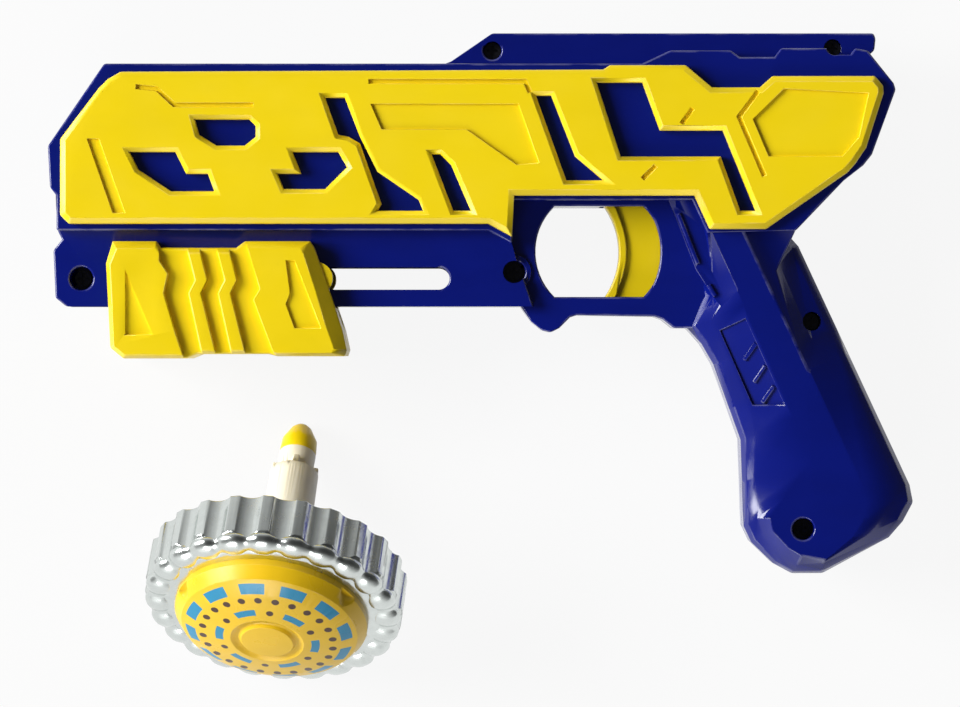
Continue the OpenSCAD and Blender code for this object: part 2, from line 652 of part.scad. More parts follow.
module left_shell() color(blue) placed() difference() {
    union() {
        difference() {
            half_solid();
            half_room();
        }
        half_ribs(pinion_top + run_gap);
    }
    case_cuts();
    peg_holes();
    for (s = case_screw_rows) {
        rod_z(2 * s[1], s[0], s[3], panel_z);
        rod_z(shank_d + 2 * seat_gap, s[0], -past, s[3] + past);
    }
}
module right_shell() color(blue) placed() difference() {
    right_side() union() {
        difference() {
            half_solid();
            half_room();
        }
        half_ribs(run_gap - crown_back);
    }
    case_cuts();
    right_side() peg_holes();
    for (s = case_screw_rows) rod_z(shank_d + 2 * seat_gap, s[0], s[4] - pilot_gap, past);
}

// Side panel over the left half of the receiver, with a bevelled edge and flared windows
module panel_half() {
    difference() {
        trimmed(receiver_half, panel_z) loft([
            ring_at(panel, receiver_half - past), ring_at(panel, panel_z - panel_bevel),
            ring_at(inset(panel, bevel_w * (1 + over / panel_bevel)), panel_z + over)
        ]);
        for (p = windows) loft([
            ring_at(p, receiver_half - past), ring_at(p, panel_z - panel_bevel),
            ring_at(inset(p, -flare_w * (1 + over / panel_bevel)), panel_z + over)
        ]);
        for (p = panel_recesses) slab(p, panel_z - relief_d, panel_z + past);
        for (p = panel_lines) slab(stroke(p, line_w), panel_z - relief_d, panel_z + past);
    }
    for (p = peg_places) rod_z(peg_d, p, receiver_half - wall, receiver_half + relief_d);
}
module left_panel() color(yellow) placed() panel_half();
module right_panel() color(yellow) placed() right_side() panel_half();

module screw(seat, end) {
    translate([0, 0, seat]) difference() {
        cylinder(d = head_screw_d, h = head_screw_h);
        for (a = [0, 90])
            rotate(a) translate([-head_screw_d / 3, -0.3, head_screw_h / 2])
                cube([head_screw_d / 1.5, 0.6, head_screw_h]);
    }
    translate([0, 0, end]) cylinder(d = shank_d, h = seat - end + head_screw_h / 4);
}
module case_screws() color(steel) placed()
    for (s = case_screw_rows) translate([s[0].x, s[0].y, 0]) screw(s[3], s[4]);

// Left half of the pump, a tray with a channelled grip face
module pump_half(post_end, seat_hole) {
    floor_z = panel_z - channel_d - pump_floor;
    inner = barrel_half + run_gap;
    difference() {
        union() {
            difference() {
                pump_block();
                slab(pump_channel, panel_z - channel_d, panel_z + past);
                for (p = pump_recesses) slab(p, panel_z - relief_d, panel_z + past);
                slab(pump_tray, -past, floor_z);
            }
            intersection() {
                pump_block();
                for (x = pump_rib_x)
                    slab([for (p = pump_rib) p + [pump_x + x, 0]], floor_z + past / 2, panel_z - 0.2);
            }
            for (x = post_x) rod_z(post_d + 2 * boss_wall, [x, slot_y], inner + past, floor_z + past / 2);
        }
        translate([0, -run_gap, -past]) cube([launcher_len, deck_h, inner + past]);
        for (x = post_x) seat(x, seat_hole);
    }
    difference() {
        for (x = post_x) rod_z(post_d, [x, slot_y], post_end, floor_z + past / 2);
        for (x = post_x) seat(x, seat_hole);
    }
}
module pump_block() trimmed(0, panel_z) loft([
    ring_at(pump_edge, -past), ring_at(pump_edge, panel_z - pump_bevel),
    ring_at(between(pump_edge, pump_face, 1 + over / pump_bevel), panel_z + over)
]);
// Hole of a pump screw: a blind pilot, or a way through with a seat for the head
module seat(x, through) {
    far = rack_z + pump_grip;
    rod_z(shank_d + 2 * seat_gap, [x, slot_y], -panel_z, through ? panel_z : far + pilot_gap);
    if (through) rod_z(head_screw_d + 2 * run_gap, [x, slot_y], pump_seat, panel_z + past);
}
module pump_left() color(yellow) placed() pump_half(rack_z + seat_gap, false);
module pump_right() color(yellow) placed() right_side() pump_half(seat_gap - rack_z, true);
module pump_screws() color(steel) placed() right_side()
    for (x = post_x) translate([x, slot_y, 0]) screw(pump_seat, -rack_z - pump_grip);

// Rack with its carrier plate and the catch for the sear
module rack_slider() color(white) placed() difference() {
    pitch = PI * rack_m;
    half = pitch / 4 - backlash / 2;
    at_root = half + 1.2 * rack_m * tan(pressure);
    at_tip = half - 0.9 * rack_m * tan(pressure);
    first = ceil((rack_x0 - gear_x + at_root) / pitch - 0.5);
    last = floor((teeth_x1 - gear_x - at_root) / pitch - 0.5);
    union() {
        slab([
            [post_x[0] - post_d / 2 - 1, slider_low], [post_x[1] + post_d / 2, slider_low],
            [post_x[1] + post_d / 2, slot_y + 3], [teeth_x1 - 2, rack_low + past],
            [post_x[0] - post_d / 2 - 1, rack_low + past]
        ], rack_z - rack_half, rack_z + rack_half);
        slab(concat(
            [[rack_x0, rack_low], [rack_x1, rack_low], [rack_x1, rack_tip], [rack_x1 - catch_l, rack_tip],
             [rack_x1 - catch_l, rack_root]],
            [for (i = [last : -1 : first]) let (x = gear_x + (i + 0.5) * pitch)
                each [[x + at_root, rack_root], [x + at_tip, rack_tip], [x - at_tip, rack_tip],
                      [x - at_root, rack_root]]],
            [[rack_x0, rack_root]]
        ), rack_z - rack_half, rack_z + rack_half);
    }
    along_x(rack_x1 - bore_l, spring_y, rack_z) cylinder(d = rod_d + 2 * run_gap, h = bore_l + past);
    for (x = post_x) rod_z(post_d + 2 * seat_gap, [x, slot_y], -panel_z, panel_z);
}
module main_spring() color(steel) placed() along_x(rack_x1 + spring_gap, spring_y, rack_z)
    coil(main_od, main_wire, main_turns, seat_x - rack_x1 - 2 * spring_gap);
module spring_rod() color(steel) placed()
    along_x(rack_x1 - rod_lead, spring_y, rack_z)
        cylinder(d = rod_d, h = seat_x + seat_deep - rack_x1 + rod_lead);

// Crown wheel and rack pinion in one moulding
module crown_tooth() {
    half = PI * crown_m / 4 - crown_slack;
    at_tip = half - 0.7 * crown_m * tan(pressure);
    at_root = half + 1.2 * crown_m * tan(pressure);
    translate([crown_r - crown_face / 2, 0, 0]) rotate([90, 0, 90]) linear_extrude(crown_face)
        polygon([[-at_root, crown_root], [-at_root, crown_root - past / 2], [at_root, crown_root - past / 2],
                 [at_root, crown_root], [at_tip, crown_tip], [-at_tip, crown_tip]]);
}
module crown_gear() color(white) placed() translate([gear_x, drive_y, 0]) difference() {
    union() {
        translate([0, 0, crown_back])
            cylinder(r = crown_r + crown_face / 2 + 0.3, h = crown_root - crown_back);
        for (i = [0 : crown_teeth - 1]) rotate(180 + (i + 0.5) * 360 / crown_teeth) crown_tooth();
        translate([0, 0, crown_root - past / 2]) rotate(-90)
            linear_extrude(pinion_top - crown_root + past / 2) polygon(gear_points(rack_teeth, rack_m));
    }
    translate([0, 0, -panel_z]) cylinder(d = pin_d + 2 * turn_gap, h = 2 * panel_z);
}
module gear_arbor() color(steel) placed()
    rod_z(pin_d, [gear_x, drive_y], seat_gap - arbor_half, arbor_half - seat_gap);

module output_shaft() color(steel) placed()
    along_x(head_x1 - head_web + seat_gap, drive_y) cylinder(d = pin_d, h = shaft_x1 - head_x1 + head_web);
module shaft_pinion() color(steel) placed()
    translate([shaft_x1 - shaft_face, drive_y, 0]) rotate([90, 0, 90]) difference() {
        rotate(-90) linear_extrude(shaft_face) polygon(gear_points(shaft_teeth, crown_m));
        translate([0, 0, -past]) cylinder(d = pin_d + 2 * seat_gap, h = shaft_face + 2 * past);
    }
module bush() difference() {
    union() {
        translate([0, 0, -flange_t]) cylinder(d = bush_d + 1.6, h = flange_t);
        cylinder(d = bush_d, h = bush_l);
    }
    translate([0, 0, -past - flange_t]) cylinder(d = pin_d + 2 * turn_gap, h = bush_l + flange_t + 2 * past);
}
module front_bush() color(grey) placed() along_x(bush_x[0], drive_y) bush();
module rear_bush() color(grey) placed()
    along_x(bush_x[1] + bush_l, drive_y) mirror([0, 0, 1]) bush();

// Drive socket with four dogs for the top's collar
module launch_head() color(grey) placed() along_x(head_x0, drive_y) {
    length = head_x1 - head_x0;
    difference() {
        union() {
            cylinder(d = head_d, h = length);
            cylinder(d = pin_d + 4 * boss_wall - 1, h = length + head_hub);
        }
        translate([0, 0, -past]) cylinder(d = dog_d, h = dog_l + past);
        translate([0, 0, -past]) cylinder(d = socket_d, h = dog_l + socket_l + past);
        translate([0, 0, length - head_web]) cylinder(d = pin_d + 2 * seat_gap, h = head_web + head_hub + past);
    }
    for (i = [0 : 3]) rotate(45 + 90 * i) intersection() {
        translate([socket_d / 2, -dog_w / 2, dog_front]) cube([dog_d, dog_w, dog_l - dog_front]);
        cylinder(d = dog_d + past / 2, h = dog_l);
    }
}

// Sliding trigger: a curved lip on a web, with a drawbar above that reaches forward to the sear
module trigger() color(yellow) placed() {
    mid = [barrel_len + blade_x, finger_y];
    block = [
        [barrel_len, blade_y0], back(blade_back, blade_y0), back(blade_back, blade_y1), [barrel_len, blade_y1]
    ];
    lug_x = sear_at.x - sear_arm / 2 - run_gap;
    difference() {
        slab(block, -web_half, web_half);
        rod_z(2 * blade_r, mid, -panel_z, panel_z);
    }
    difference() {
        intersection() {
            slab(block, -lip_half, lip_half);
            rod_z(2 * (blade_r + lip_t), mid, -panel_z, panel_z);
        }
        rod_z(2 * blade_r, mid, -panel_z, panel_z);
    }
    slab([
        back(riser_x, blade_y1 - past), back(blade_back, blade_y1 - past), back(blade_back, bar_y + bar_h),
        [lug_x - 3, bar_y + bar_h], [lug_x - 3, bar_y - 3], [lug_x, bar_y - 3], [lug_x, bar_y],
        back(riser_x, bar_y)
    ], -sear_w / 2, sear_w / 2);
}
module trigger_spring() color(steel) placed() along_x(barrel_len + blade_back + spring_gap, finger_y)
    coil(small_od, small_wire, small_turns, trigger_seat - blade_back - 2 * spring_gap);

// Catch lever: hook in front, arm above its pin
module sear() color(grey) placed() translate([sear_at.x, sear_at.y, 0]) difference() {
    translate([0, 0, -sear_w / 2]) linear_extrude(sear_w) union() {
        polygon([
            [-sear_l - sear_tooth, -sear_drop], [-sear_l, -sear_drop], [-sear_l, -sear_under], [0, -sear_under],
            [0, sear_top], [-sear_l - sear_tooth, sear_top]
        ]);
        translate([-sear_arm / 2, 0]) square([sear_arm, bar_y - sear_at.y - 2 * run_gap]);
        circle(pin_d / 2 + 2.3);
    }
    translate([0, 0, -panel_z]) cylinder(d = pin_d + 2 * turn_gap, h = 2 * panel_z);
}
module sear_pin() color(steel) placed() rod_z(pin_d, sear_at, seat_gap - arbor_half, arbor_half - seat_gap);
module sear_spring() color(steel) placed()
    translate([shelf_x, shelf_y - spring_gap, 0]) rotate([90, 0, 0])
        coil(small_od, small_wire, sear_turns, shelf_y - sear_at.y - sear_top - 2 * spring_gap);

// Spinning top
module top_ring() color(steel) top_placed() difference() {
    rotate_extrude() polygon([
        [cap_r + seat_gap, 0], [ring_r, 0], [ring_r, -ring_h], [ring_r - 1.4, -ring_h - bevel_h / 2],
        [cap_r + 1.6, -ring_top], [cap_r + seat_gap, -ring_top], [cap_r + seat_gap, -shelf_front],
        [cap_r - 1.8, -shelf_front], [cap_r - 1.8, -shelf_back], [cap_r + seat_gap, -shelf_back]
    ]);
    for (i = [0 : flutes - 1]) rotate(90 + 360 / flutes * i)
        translate([flute_at, 0, -ring_top - past]) cylinder(r = flute_r, h = ring_top + 2 * past);
}
module top_cap() color(yellow) top_placed() difference() {
    union() {
        difference() {
            rotate_extrude() polygon([
                [cap_r - 2, -shelf_front - seat_gap], [cap_r, -shelf_front - seat_gap], [cap_r, -ring_top - 1.5],
                [cap_r - 1.9, -ring_top - dome_h / 2], [cap_r - 6.4, -ring_top - dome_h * 0.77],
                [nub_r + 1.5, -ring_top - dome_h * 0.92], [nub_r, -ring_top - dome_h * 0.82],
                [nub_r - 1, -ring_top - dome_h * 0.95], [0, -ring_top - dome_h], [0, -ring_top - dome_h * 0.6],
                [cap_r - 7, -ring_top - dome_h * 0.5], [cap_r - 3.5, -ring_top - dome_h * 0.3], [cap_r - 2, -ring_top]
            ]);
            for (i = [0 : 2]) rotate(200 + 120 * i)
                translate([cap_r + 1.5, 0, -ring_top - dome_h]) cylinder(r = 3, h = dome_h - 0.8);
        }
        for (i = [0 : 2]) rotate(120 * i) translate([post_r, 0, -ring_top - dome_h * 0.55])
            cylinder(d = shank_d + 2 * boss_wall, h = ring_top + dome_h * 0.55 - hub_front - seat_gap);
    }
    for (i = [0 : 2]) rotate(120 * i) translate([post_r, 0, -ring_top])
        cylinder(d = shank_d + 2 * seat_gap, h = ring_top);
}
module top_weight() color(steel) top_placed() translate([0, 0, -hub_front - seat_gap - weight_t]) difference() {
    cylinder(r = cap_r - 2, h = weight_t);
    translate([0, 0, -past]) cylinder(r = post_r + shank_d / 2 + boss_wall + 1, h = weight_t + 2 * past);
}
module top_hub() color(white) top_placed() difference() {
    union() {
        rotate_extrude() polygon([
            [0, -hub_front], [cap_r, -hub_front], [cap_r, -hub_back], [9, -hub_back], [7.5, 6],
            [collar_d / 2 + 0.3, 9], [collar_d / 2, collar_z], [neck_d / 2 - 0.1, collar_z], [neck_d / 2, neck_z],
            [0, neck_z]
        ]);
        for (i = [0 : 3]) rotate(90 * i) translate([neck_d / 2 - 0.5, -dog_w / 2, collar_z - past])
            cube([collar_d / 2 - neck_d / 2 + 0.3, dog_w, past + 2]);
    }
    translate([0, 0, neck_z - spigot_l - seat_gap]) cylinder(d = spigot_d + 2 * seat_gap, h = spigot_l + past);
    for (i = [0 : 2]) rotate(120 * i) translate([post_r, 0, 0]) {
        translate([0, 0, -hub_front - past]) cylinder(d = shank_d + 2 * seat_gap, h = hub_front);
        translate([0, 0, -hub_back - 1]) cylinder(d = head_screw_d + 2 * run_gap, h = 2);
    }
}
module top_tip() color(yellow) top_placed() {
    rotate_extrude() polygon([
        [0, neck_z], [neck_d / 2 - 0.1, neck_z], [neck_d / 2, neck_z + 1], [neck_d / 2 - 0.2, stem_len - 4.2],
        [tip_r + 1, stem_len - 1], [tip_r, stem_len], [0, stem_len]
    ]);
    translate([0, 0, neck_z - spigot_l]) cylinder(d = spigot_d, h = spigot_l + past / 2);
}
module top_screws() color(steel) top_placed()
    for (i = [0 : 2]) rotate(120 * i) translate([post_r, 0, 0]) screw(-hub_back - 1, -ring_top + 1);

left_shell();
right_shell();
left_panel();
right_panel();
case_screws();
pump_left();
pump_right();
pump_screws();
rack_slider();
main_spring();
spring_rod();
crown_gear();
gear_arbor();
output_shaft();
shaft_pinion();
front_bush();
rear_bush();
launch_head();
trigger();
trigger_spring();
sear();
sear_pin();
sear_spring();
top_ring();
top_cap();
top_weight();
top_hub();
top_tip();
top_screws();
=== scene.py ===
"""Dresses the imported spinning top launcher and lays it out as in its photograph."""

import json
import math

import bmesh
import bpy
from mathutils import Matrix, Vector
from mathutils.bvhtree import BVHTree


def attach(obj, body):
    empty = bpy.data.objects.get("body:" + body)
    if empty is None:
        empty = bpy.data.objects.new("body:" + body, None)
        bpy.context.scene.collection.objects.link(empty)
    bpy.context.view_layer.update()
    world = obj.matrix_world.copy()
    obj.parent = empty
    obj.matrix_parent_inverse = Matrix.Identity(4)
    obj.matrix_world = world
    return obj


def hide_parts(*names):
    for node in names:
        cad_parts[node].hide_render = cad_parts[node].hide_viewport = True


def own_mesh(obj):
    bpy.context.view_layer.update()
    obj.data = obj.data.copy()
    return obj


bl_info = {
    "name": "Spinning top launcher",
    "version": (1, 0, 0),
    "blender": (4, 5, 0),
    "location": "3D View > Sidebar > Launcher",
    "description": "Rounds, colours and lights a pump-action launcher and its spinning top",
    "category": "Object",
}

# Frame and joints
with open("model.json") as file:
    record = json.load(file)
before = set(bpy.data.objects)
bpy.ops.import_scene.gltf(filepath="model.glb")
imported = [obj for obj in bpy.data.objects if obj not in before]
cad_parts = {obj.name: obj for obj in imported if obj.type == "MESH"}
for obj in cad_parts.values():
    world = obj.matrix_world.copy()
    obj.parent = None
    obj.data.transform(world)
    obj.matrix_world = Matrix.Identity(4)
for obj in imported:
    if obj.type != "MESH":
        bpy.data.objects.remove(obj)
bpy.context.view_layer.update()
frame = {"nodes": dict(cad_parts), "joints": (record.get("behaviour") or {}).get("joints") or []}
MM = 0.001
JOINTS = {joint["name"]: joint for joint in frame["joints"]}
TOP_JOINT = JOINTS["top_spin"]

# Travels of the pump and trigger joints and the sear's lift, handed to the springs but not used
PUMP_TRAVEL = JOINTS["pump_slide"]["range_m"][1]
TRIGGER_TRAVEL = JOINTS["trigger_slide"]["range_m"][1]
SEAR_LIFT = 4.4 * MM

# Wavy roll on the front of the top's ring, in the top's own frame
LUMPS = 24
LUMP_RADIUS = 26.3 * MM
LUMP_HEIGHT = -10.8 * MM
LUMP_WIDTH = 3.5 * MM
LUMP_RISE = 2.1 * MM
LUMP_DIP = 0.3
DIP_POWER = 4
LUMP_STEPS = 12
ROLL_STEPS = 28
ROLL_UNIT = MM
RING_BACK = 0.01 * MM


# Settings
def colour_setting(name, description, default):
    """A colour in a group of settings."""
    return bpy.props.FloatVectorProperty(
        name=name, description=description, subtype="COLOR", size=4, default=default
    )


def length_setting(name, description, default):
    """A length in a group of settings."""
    return bpy.props.FloatProperty(name=name, description=description, unit="LENGTH", default=default)


def level_setting(name, description, default):
    """A plain number in a group of settings."""
    return bpy.props.FloatProperty(name=name, description=description, default=default)


class LauncherColours(bpy.types.PropertyGroup):
    """Colours of the mouldings and metals"""

    shell: colour_setting("Shell", "Blue of the two shells", (0.0025, 0.008, 0.18, 1.0))
    panel: colour_setting("Panel", "Yellow of panels, pump and trigger", (0.93, 0.69, 0.004, 1.0))
    cap: colour_setting("Cap", "Yellow of the top's face", (0.86, 0.54, 0.008, 1.0))
    stem: colour_setting("Stem", "Off-white of the top's stem", (0.93, 0.88, 0.74, 1.0))
    inner: colour_setting("Inner", "Grey of the inner mouldings", (0.075, 0.078, 0.085, 1.0))
    print_light: colour_setting("Light print", "Teal of the printed bars", (0.012, 0.24, 0.43, 1.0))
    print_dark: colour_setting("Dark print", "Brown of the printed dots", (0.06, 0.024, 0.012, 1.0))
    chrome: colour_setting("Chrome", "Plating of the top's ring", (0.68, 0.72, 0.7, 1.0))
    steel: colour_setting("Steel", "Pins, shafts and springs", (0.42, 0.43, 0.45, 1.0))
    screw: colour_setting("Screw", "Dark coating of the screws", (0.06, 0.06, 0.065, 1.0))


class LauncherEdges(bpy.types.PropertyGroup):
    """Radii of the moulded edges"""

    shell: length_setting("Shell edge", "Rounding of the shells' outer edges", 0.45 * MM)
    panel: length_setting("Panel edge", "Rounding of the panels and their windows", 0.3 * MM)
    pump: length_setting("Pump edge", "Rounding of the pump's ribs and rim", 0.35 * MM)
    trigger: length_setting("Trigger edge", "Rounding of the trigger's lip", 0.4 * MM)
    ring: length_setting("Ring edge", "Rounding of the ring's ribs", 0.35 * MM)
    cap: length_setting("Cap edge", "Rounding of the cap, stem and tip", 0.3 * MM)


class LauncherStage(bpy.types.PropertyGroup):
    """Camera, lamps and floor"""

    distance: length_setting("Distance", "Camera above the launcher's middle plane", 1.2)
    width: length_setting("Width", "What the frame takes in at that plane", 0.22404)
    aim: bpy.props.FloatVectorProperty(
        name="Aim", description="Point under the camera", subtype="TRANSLATION", size=3,
        default=(-0.0004, 0.00025, 0.018),
    )
    key: level_setting("Key", "Power of the lamp from the left", 178.0)
    fill: level_setting("Fill", "Power of the lamp from below left", 16.0)
    horizon: level_setting("Horizon", "Light from low down all round", 0.32)
    zenith: level_setting("Zenith", "Light from straight above", 0.06)
    ground: bpy.props.FloatProperty(
        name="Ground", description="Share of plain white in the floor as it is seen", subtype="FACTOR",
        default=0.91,
    )
    floor: colour_setting("Floor", "Colour of the floor", (0.6, 0.6, 0.6, 1.0))


# Shader helpers
def new_group(name, inputs, outputs):
    """An empty shader group with its sockets, and its two end nodes."""
    group = bpy.data.node_groups.new(name, "ShaderNodeTree")
    for label, kind, value in inputs:
        socket = group.interface.new_socket(label, in_out="INPUT", socket_type=kind)
        socket.default_value = value
    for label, kind in outputs:
        group.interface.new_socket(label, in_out="OUTPUT", socket_type=kind)
    start = group.nodes.new("NodeGroupInput")
    end = group.nodes.new("NodeGroupOutput")
    return group, start, end


def math_node(tree, operation, first, second=None, clamp=False):
    """A Math node whose inputs are links or plain numbers."""
    node = tree.nodes.new("ShaderNodeMath")
    node.operation = operation
    node.use_clamp = clamp
    for slot, value in enumerate((first, second)):
        if value is None:
            continue
        if isinstance(value, (int, float)):
            node.inputs[slot].default_value = value
        else:
            tree.links.new(value, node.inputs[slot])
    return node.outputs[0]


def noise(tree, vector, scale, detail, stretch=None, turn=(0.0, 0.0, 0.0)):
    """A noise texture on a vector, stretched and turned where a stretch is given."""
    node = tree.nodes.new("ShaderNodeTexNoise")
    node.inputs["Scale"].default_value = scale
    node.inputs["Detail"].default_value = detail
    if stretch is not None:
        mapped = tree.nodes.new("ShaderNodeMapping")
        mapped.inputs["Scale"].default_value = stretch
        mapped.inputs["Rotation"].default_value = turn
        tree.links.new(vector, mapped.inputs["Vector"])
        vector = mapped.outputs["Vector"]
    tree.links.new(vector, node.inputs["Vector"])
    return node.outputs["Fac"]


def remap(tree, value, low, high, to_low=0.0, to_high=1.0):
    """A value carried from one range to another, and kept inside it."""
    node = tree.nodes.new("ShaderNodeMapRange")
    node.inputs["From Min"].default_value = low
    node.inputs["From Max"].default_value = high
    node.inputs["To Min"].default_value = to_low
    node.inputs["To Max"].default_value = to_high
    tree.links.new(value, node.inputs["Value"])
    return node.outputs["Result"]


def hypotenuse(tree, first, second):
    """Straight distance made by two lengths at right angles."""
    first = math_node(tree, "MULTIPLY", first, first)
    second = math_node(tree, "MULTIPLY", second, second)
    return math_node(tree, "SQRT", math_node(tree, "ADD", first, second))


def blend_colour(tree, factor, first, second):
    """A colour mix whose factor is a link and whose colours are links or plain values."""
    node = tree.nodes.new("ShaderNodeMix")
    node.data_type = "RGBA"
    tree.links.new(factor, node.inputs["Factor"])
    for name, value in (("A", first), ("B", second)):
        socket = next(s for s in node.inputs if s.name == name and s.type == "RGBA")
        if hasattr(value, "is_linked"):
            tree.links.new(value, socket)
        else:
            socket.default_value = value
    return next(s for s in node.outputs if s.type == "RGBA")


def moulded_group():
    """Flow marks, fine grain and uneven gloss of an injection moulding."""
    group, start, end = new_group(
        "Moulded skin",
        [
            ("Color", "NodeSocketColor", (0.5, 0.5, 0.5, 1.0)),
            ("Deep", "NodeSocketColor", (0.3, 0.3, 0.3, 1.0)),
            ("Gloss", "NodeSocketFloat", 0.25),
        ],
        [("Color", "NodeSocketColor"), ("Roughness", "NodeSocketFloat"), ("Height", "NodeSocketFloat")],
    )
    place = group.nodes.new("ShaderNodeTexCoord").outputs["Object"]
    flow = noise(group, place, scale=38.0, detail=3.0, stretch=(1.0, 2.6, 1.0), turn=(0.0, 0.0, 0.5))
    tone = remap(group, flow, 0.35, 0.75, to_high=0.35)
    toned = blend_colour(group, tone, start.outputs["Color"], start.outputs["Deep"])
    group.links.new(toned, end.inputs["Color"])
    cloudy = noise(group, place, scale=120.0, detail=4.0)
    spread = remap(group, cloudy, 0.3, 0.7, -0.05, 0.07)
    rough = math_node(group, "ADD", start.outputs["Gloss"], spread, clamp=True)
    group.links.new(rough, end.inputs["Roughness"])
    ripple = noise(group, place, scale=260.0, detail=2.0)
    grain = noise(group, place, scale=2600.0, detail=2.0)
    fine = math_node(group, "MULTIPLY", grain, 0.18)
    group.links.new(math_node(group, "ADD", ripple, fine), end.inputs["Height"])
    return group


def scuff_group():
    """Thin handling scratches in two directions."""
    group, start, end = new_group(
        "Scuffs", [("Amount", "NodeSocketFloat", 0.5)], [("Mask", "NodeSocketFloat")]
    )
    place = group.nodes.new("ShaderNodeTexCoord").outputs["Object"]
    first = noise(group, place, scale=210.0, detail=2.0, stretch=(1.0, 14.0, 14.0), turn=(0.0, 0.0, 0.7))
    second = noise(group, place, scale=180.0, detail=2.0, stretch=(12.0, 1.0, 12.0), turn=(0.0, 0.0, -0.4))
    rising = remap(group, first, 0.7, 0.74)
    falling = remap(group, second, 0.71, 0.75)
    lines = math_node(group, "MAXIMUM", rising, falling)
    where = remap(group, noise(group, place, scale=45.0, detail=2.0), 0.5, 0.65)
    mask = math_node(group, "MULTIPLY", lines, where)
    scaled = math_node(group, "MULTIPLY", mask, start.outputs["Amount"], clamp=True)
    group.links.new(scaled, end.inputs["Mask"])
    return group


def wear_group():
    """Rubbed patches along the rounded edges."""
    group, start, end = new_group(
        "Edge wear", [("Amount", "NodeSocketFloat", 0.5)], [("Mask", "NodeSocketFloat")]
    )
    place = group.nodes.new("ShaderNodeTexCoord").outputs["Object"]
    rim = group.nodes.new("ShaderNodeAttribute")
    rim.attribute_name = "rim"
    patches = remap(group, noise(group, place, scale=170.0, detail=4.0), 0.42, 0.62)
    mask = math_node(group, "MULTIPLY", rim.outputs["Fac"], patches)
    scaled = math_node(group, "MULTIPLY", mask, start.outputs["Amount"], clamp=True)
    group.links.new(scaled, end.inputs["Mask"])
    return group


def add_group(tree, group, **values):
    """A shared group in a material, with its inputs set."""
    node = tree.nodes.new("ShaderNodeGroup")
    node.node_tree = bpy.data.node_groups[group]
    for name, value in values.items():
        node.inputs[name].default_value = value
    return node


def bump(tree, height, strength, distance):
    """A normal that follows a height."""
    node = tree.nodes.new("ShaderNodeBump")
    node.inputs["Strength"].default_value = strength
    node.inputs["Distance"].default_value = distance
    tree.links.new(height, node.inputs["Height"])
    return node.outputs["Normal"]


def new_material(name):
    """A material with its Principled shader."""
    material = bpy.data.materials.new(name)
    material.use_nodes = True
    tree = material.node_tree
    shader = next(n for n in tree.nodes if n.type == "BSDF_PRINCIPLED")
    return material, tree, shader


def deeper(colour, share):
    """A colour darkened to a share of itself."""
    return tuple(c * share for c in colour[:3]) + (1.0,)


def paler(colour, share):
    """A colour taken a share of the way to white."""
    return tuple(c + (1.0 - c) * share for c in colour[:3]) + (1.0,)


# Finishes
RUBBED_PALE = 0.16
WORN_ROUGHNESS = 0.22
SCRATCH_DEPTH = 0.5
PLASTIC_BUMP = 0.12
PLASTIC_IOR = 1.5
METAL_BUMP = 0.04
METAL_GRAIN = 0.02 * MM
METAL_SHADE = 0.8
METAL_WORN = 0.2
METAL_SMOOTHEST = 0.7
METAL_ROUGHEST = 1.5


def plastic(name, colour, gloss, scuffs, depth, deep_share=0.72):
    """Moulded plastic: flow marks in the colour, uneven gloss, grain and a few scuffs."""
    material, tree, shader = new_material(name)
    deep = deeper(colour, deep_share)
    skin = add_group(tree, "Moulded skin", Color=tuple(colour), Deep=deep, Gloss=gloss)
    marks = add_group(tree, "Scuffs", Amount=scuffs)
    rubbed = add_group(tree, "Edge wear", Amount=scuffs)
    pale = blend_colour(tree, rubbed.outputs["Mask"], skin.outputs["Color"], paler(colour, RUBBED_PALE))
    tree.links.new(pale, shader.inputs["Base Color"])
    both = math_node(tree, "MAXIMUM", marks.outputs["Mask"], rubbed.outputs["Mask"])
    worn = math_node(tree, "MULTIPLY", both, WORN_ROUGHNESS)
    rough = math_node(tree, "ADD", skin.outputs["Roughness"], worn, clamp=True)
    tree.links.new(rough, shader.inputs["Roughness"])
    cut = math_node(tree, "MULTIPLY", marks.outputs["Mask"], -SCRATCH_DEPTH)
    height = math_node(tree, "ADD", skin.outputs["Height"], cut)
    tree.links.new(bump(tree, height, PLASTIC_BUMP, depth), shader.inputs["Normal"])
    shader.inputs["IOR"].default_value = PLASTIC_IOR
    return material


def metal(name, colour, gloss, scuffs, stretch):
    """Bare or plated metal: drawn streaks in the gloss and a few scuffs."""
    material, tree, shader = new_material(name)
    place = tree.nodes.new("ShaderNodeTexCoord").outputs["Object"]
    streak = noise(tree, place, scale=420.0, detail=3.0, stretch=stretch)
    shade = remap(tree, streak, 0.3, 0.7, to_high=0.4)
    tint = blend_colour(tree, shade, tuple(colour), deeper(colour, METAL_SHADE))
    tree.links.new(tint, shader.inputs["Base Color"])
    marks = add_group(tree, "Scuffs", Amount=scuffs)
    even = remap(tree, streak, 0.25, 0.75, gloss * METAL_SMOOTHEST, gloss * METAL_ROUGHEST)
    worn = math_node(tree, "MULTIPLY", marks.outputs["Mask"], METAL_WORN)
    tree.links.new(math_node(tree, "ADD", even, worn, clamp=True), shader.inputs["Roughness"])
    tree.links.new(bump(tree, streak, METAL_BUMP, METAL_GRAIN), shader.inputs["Normal"])
    shader.inputs["Metallic"].default_value = 1.0
    return material


def top_turn():
    """Turn that takes the top's own axis to where it lies."""
    return Vector(TOP_JOINT["axis"]).to_track_quat("Z", "Y").to_euler()


PRINT_SOFT = 0.12 * MM
OUTER_BARS = 18.2 * MM
OUTER_DOTS = 15.2 * MM
INNER_MARKS = 11.2 * MM


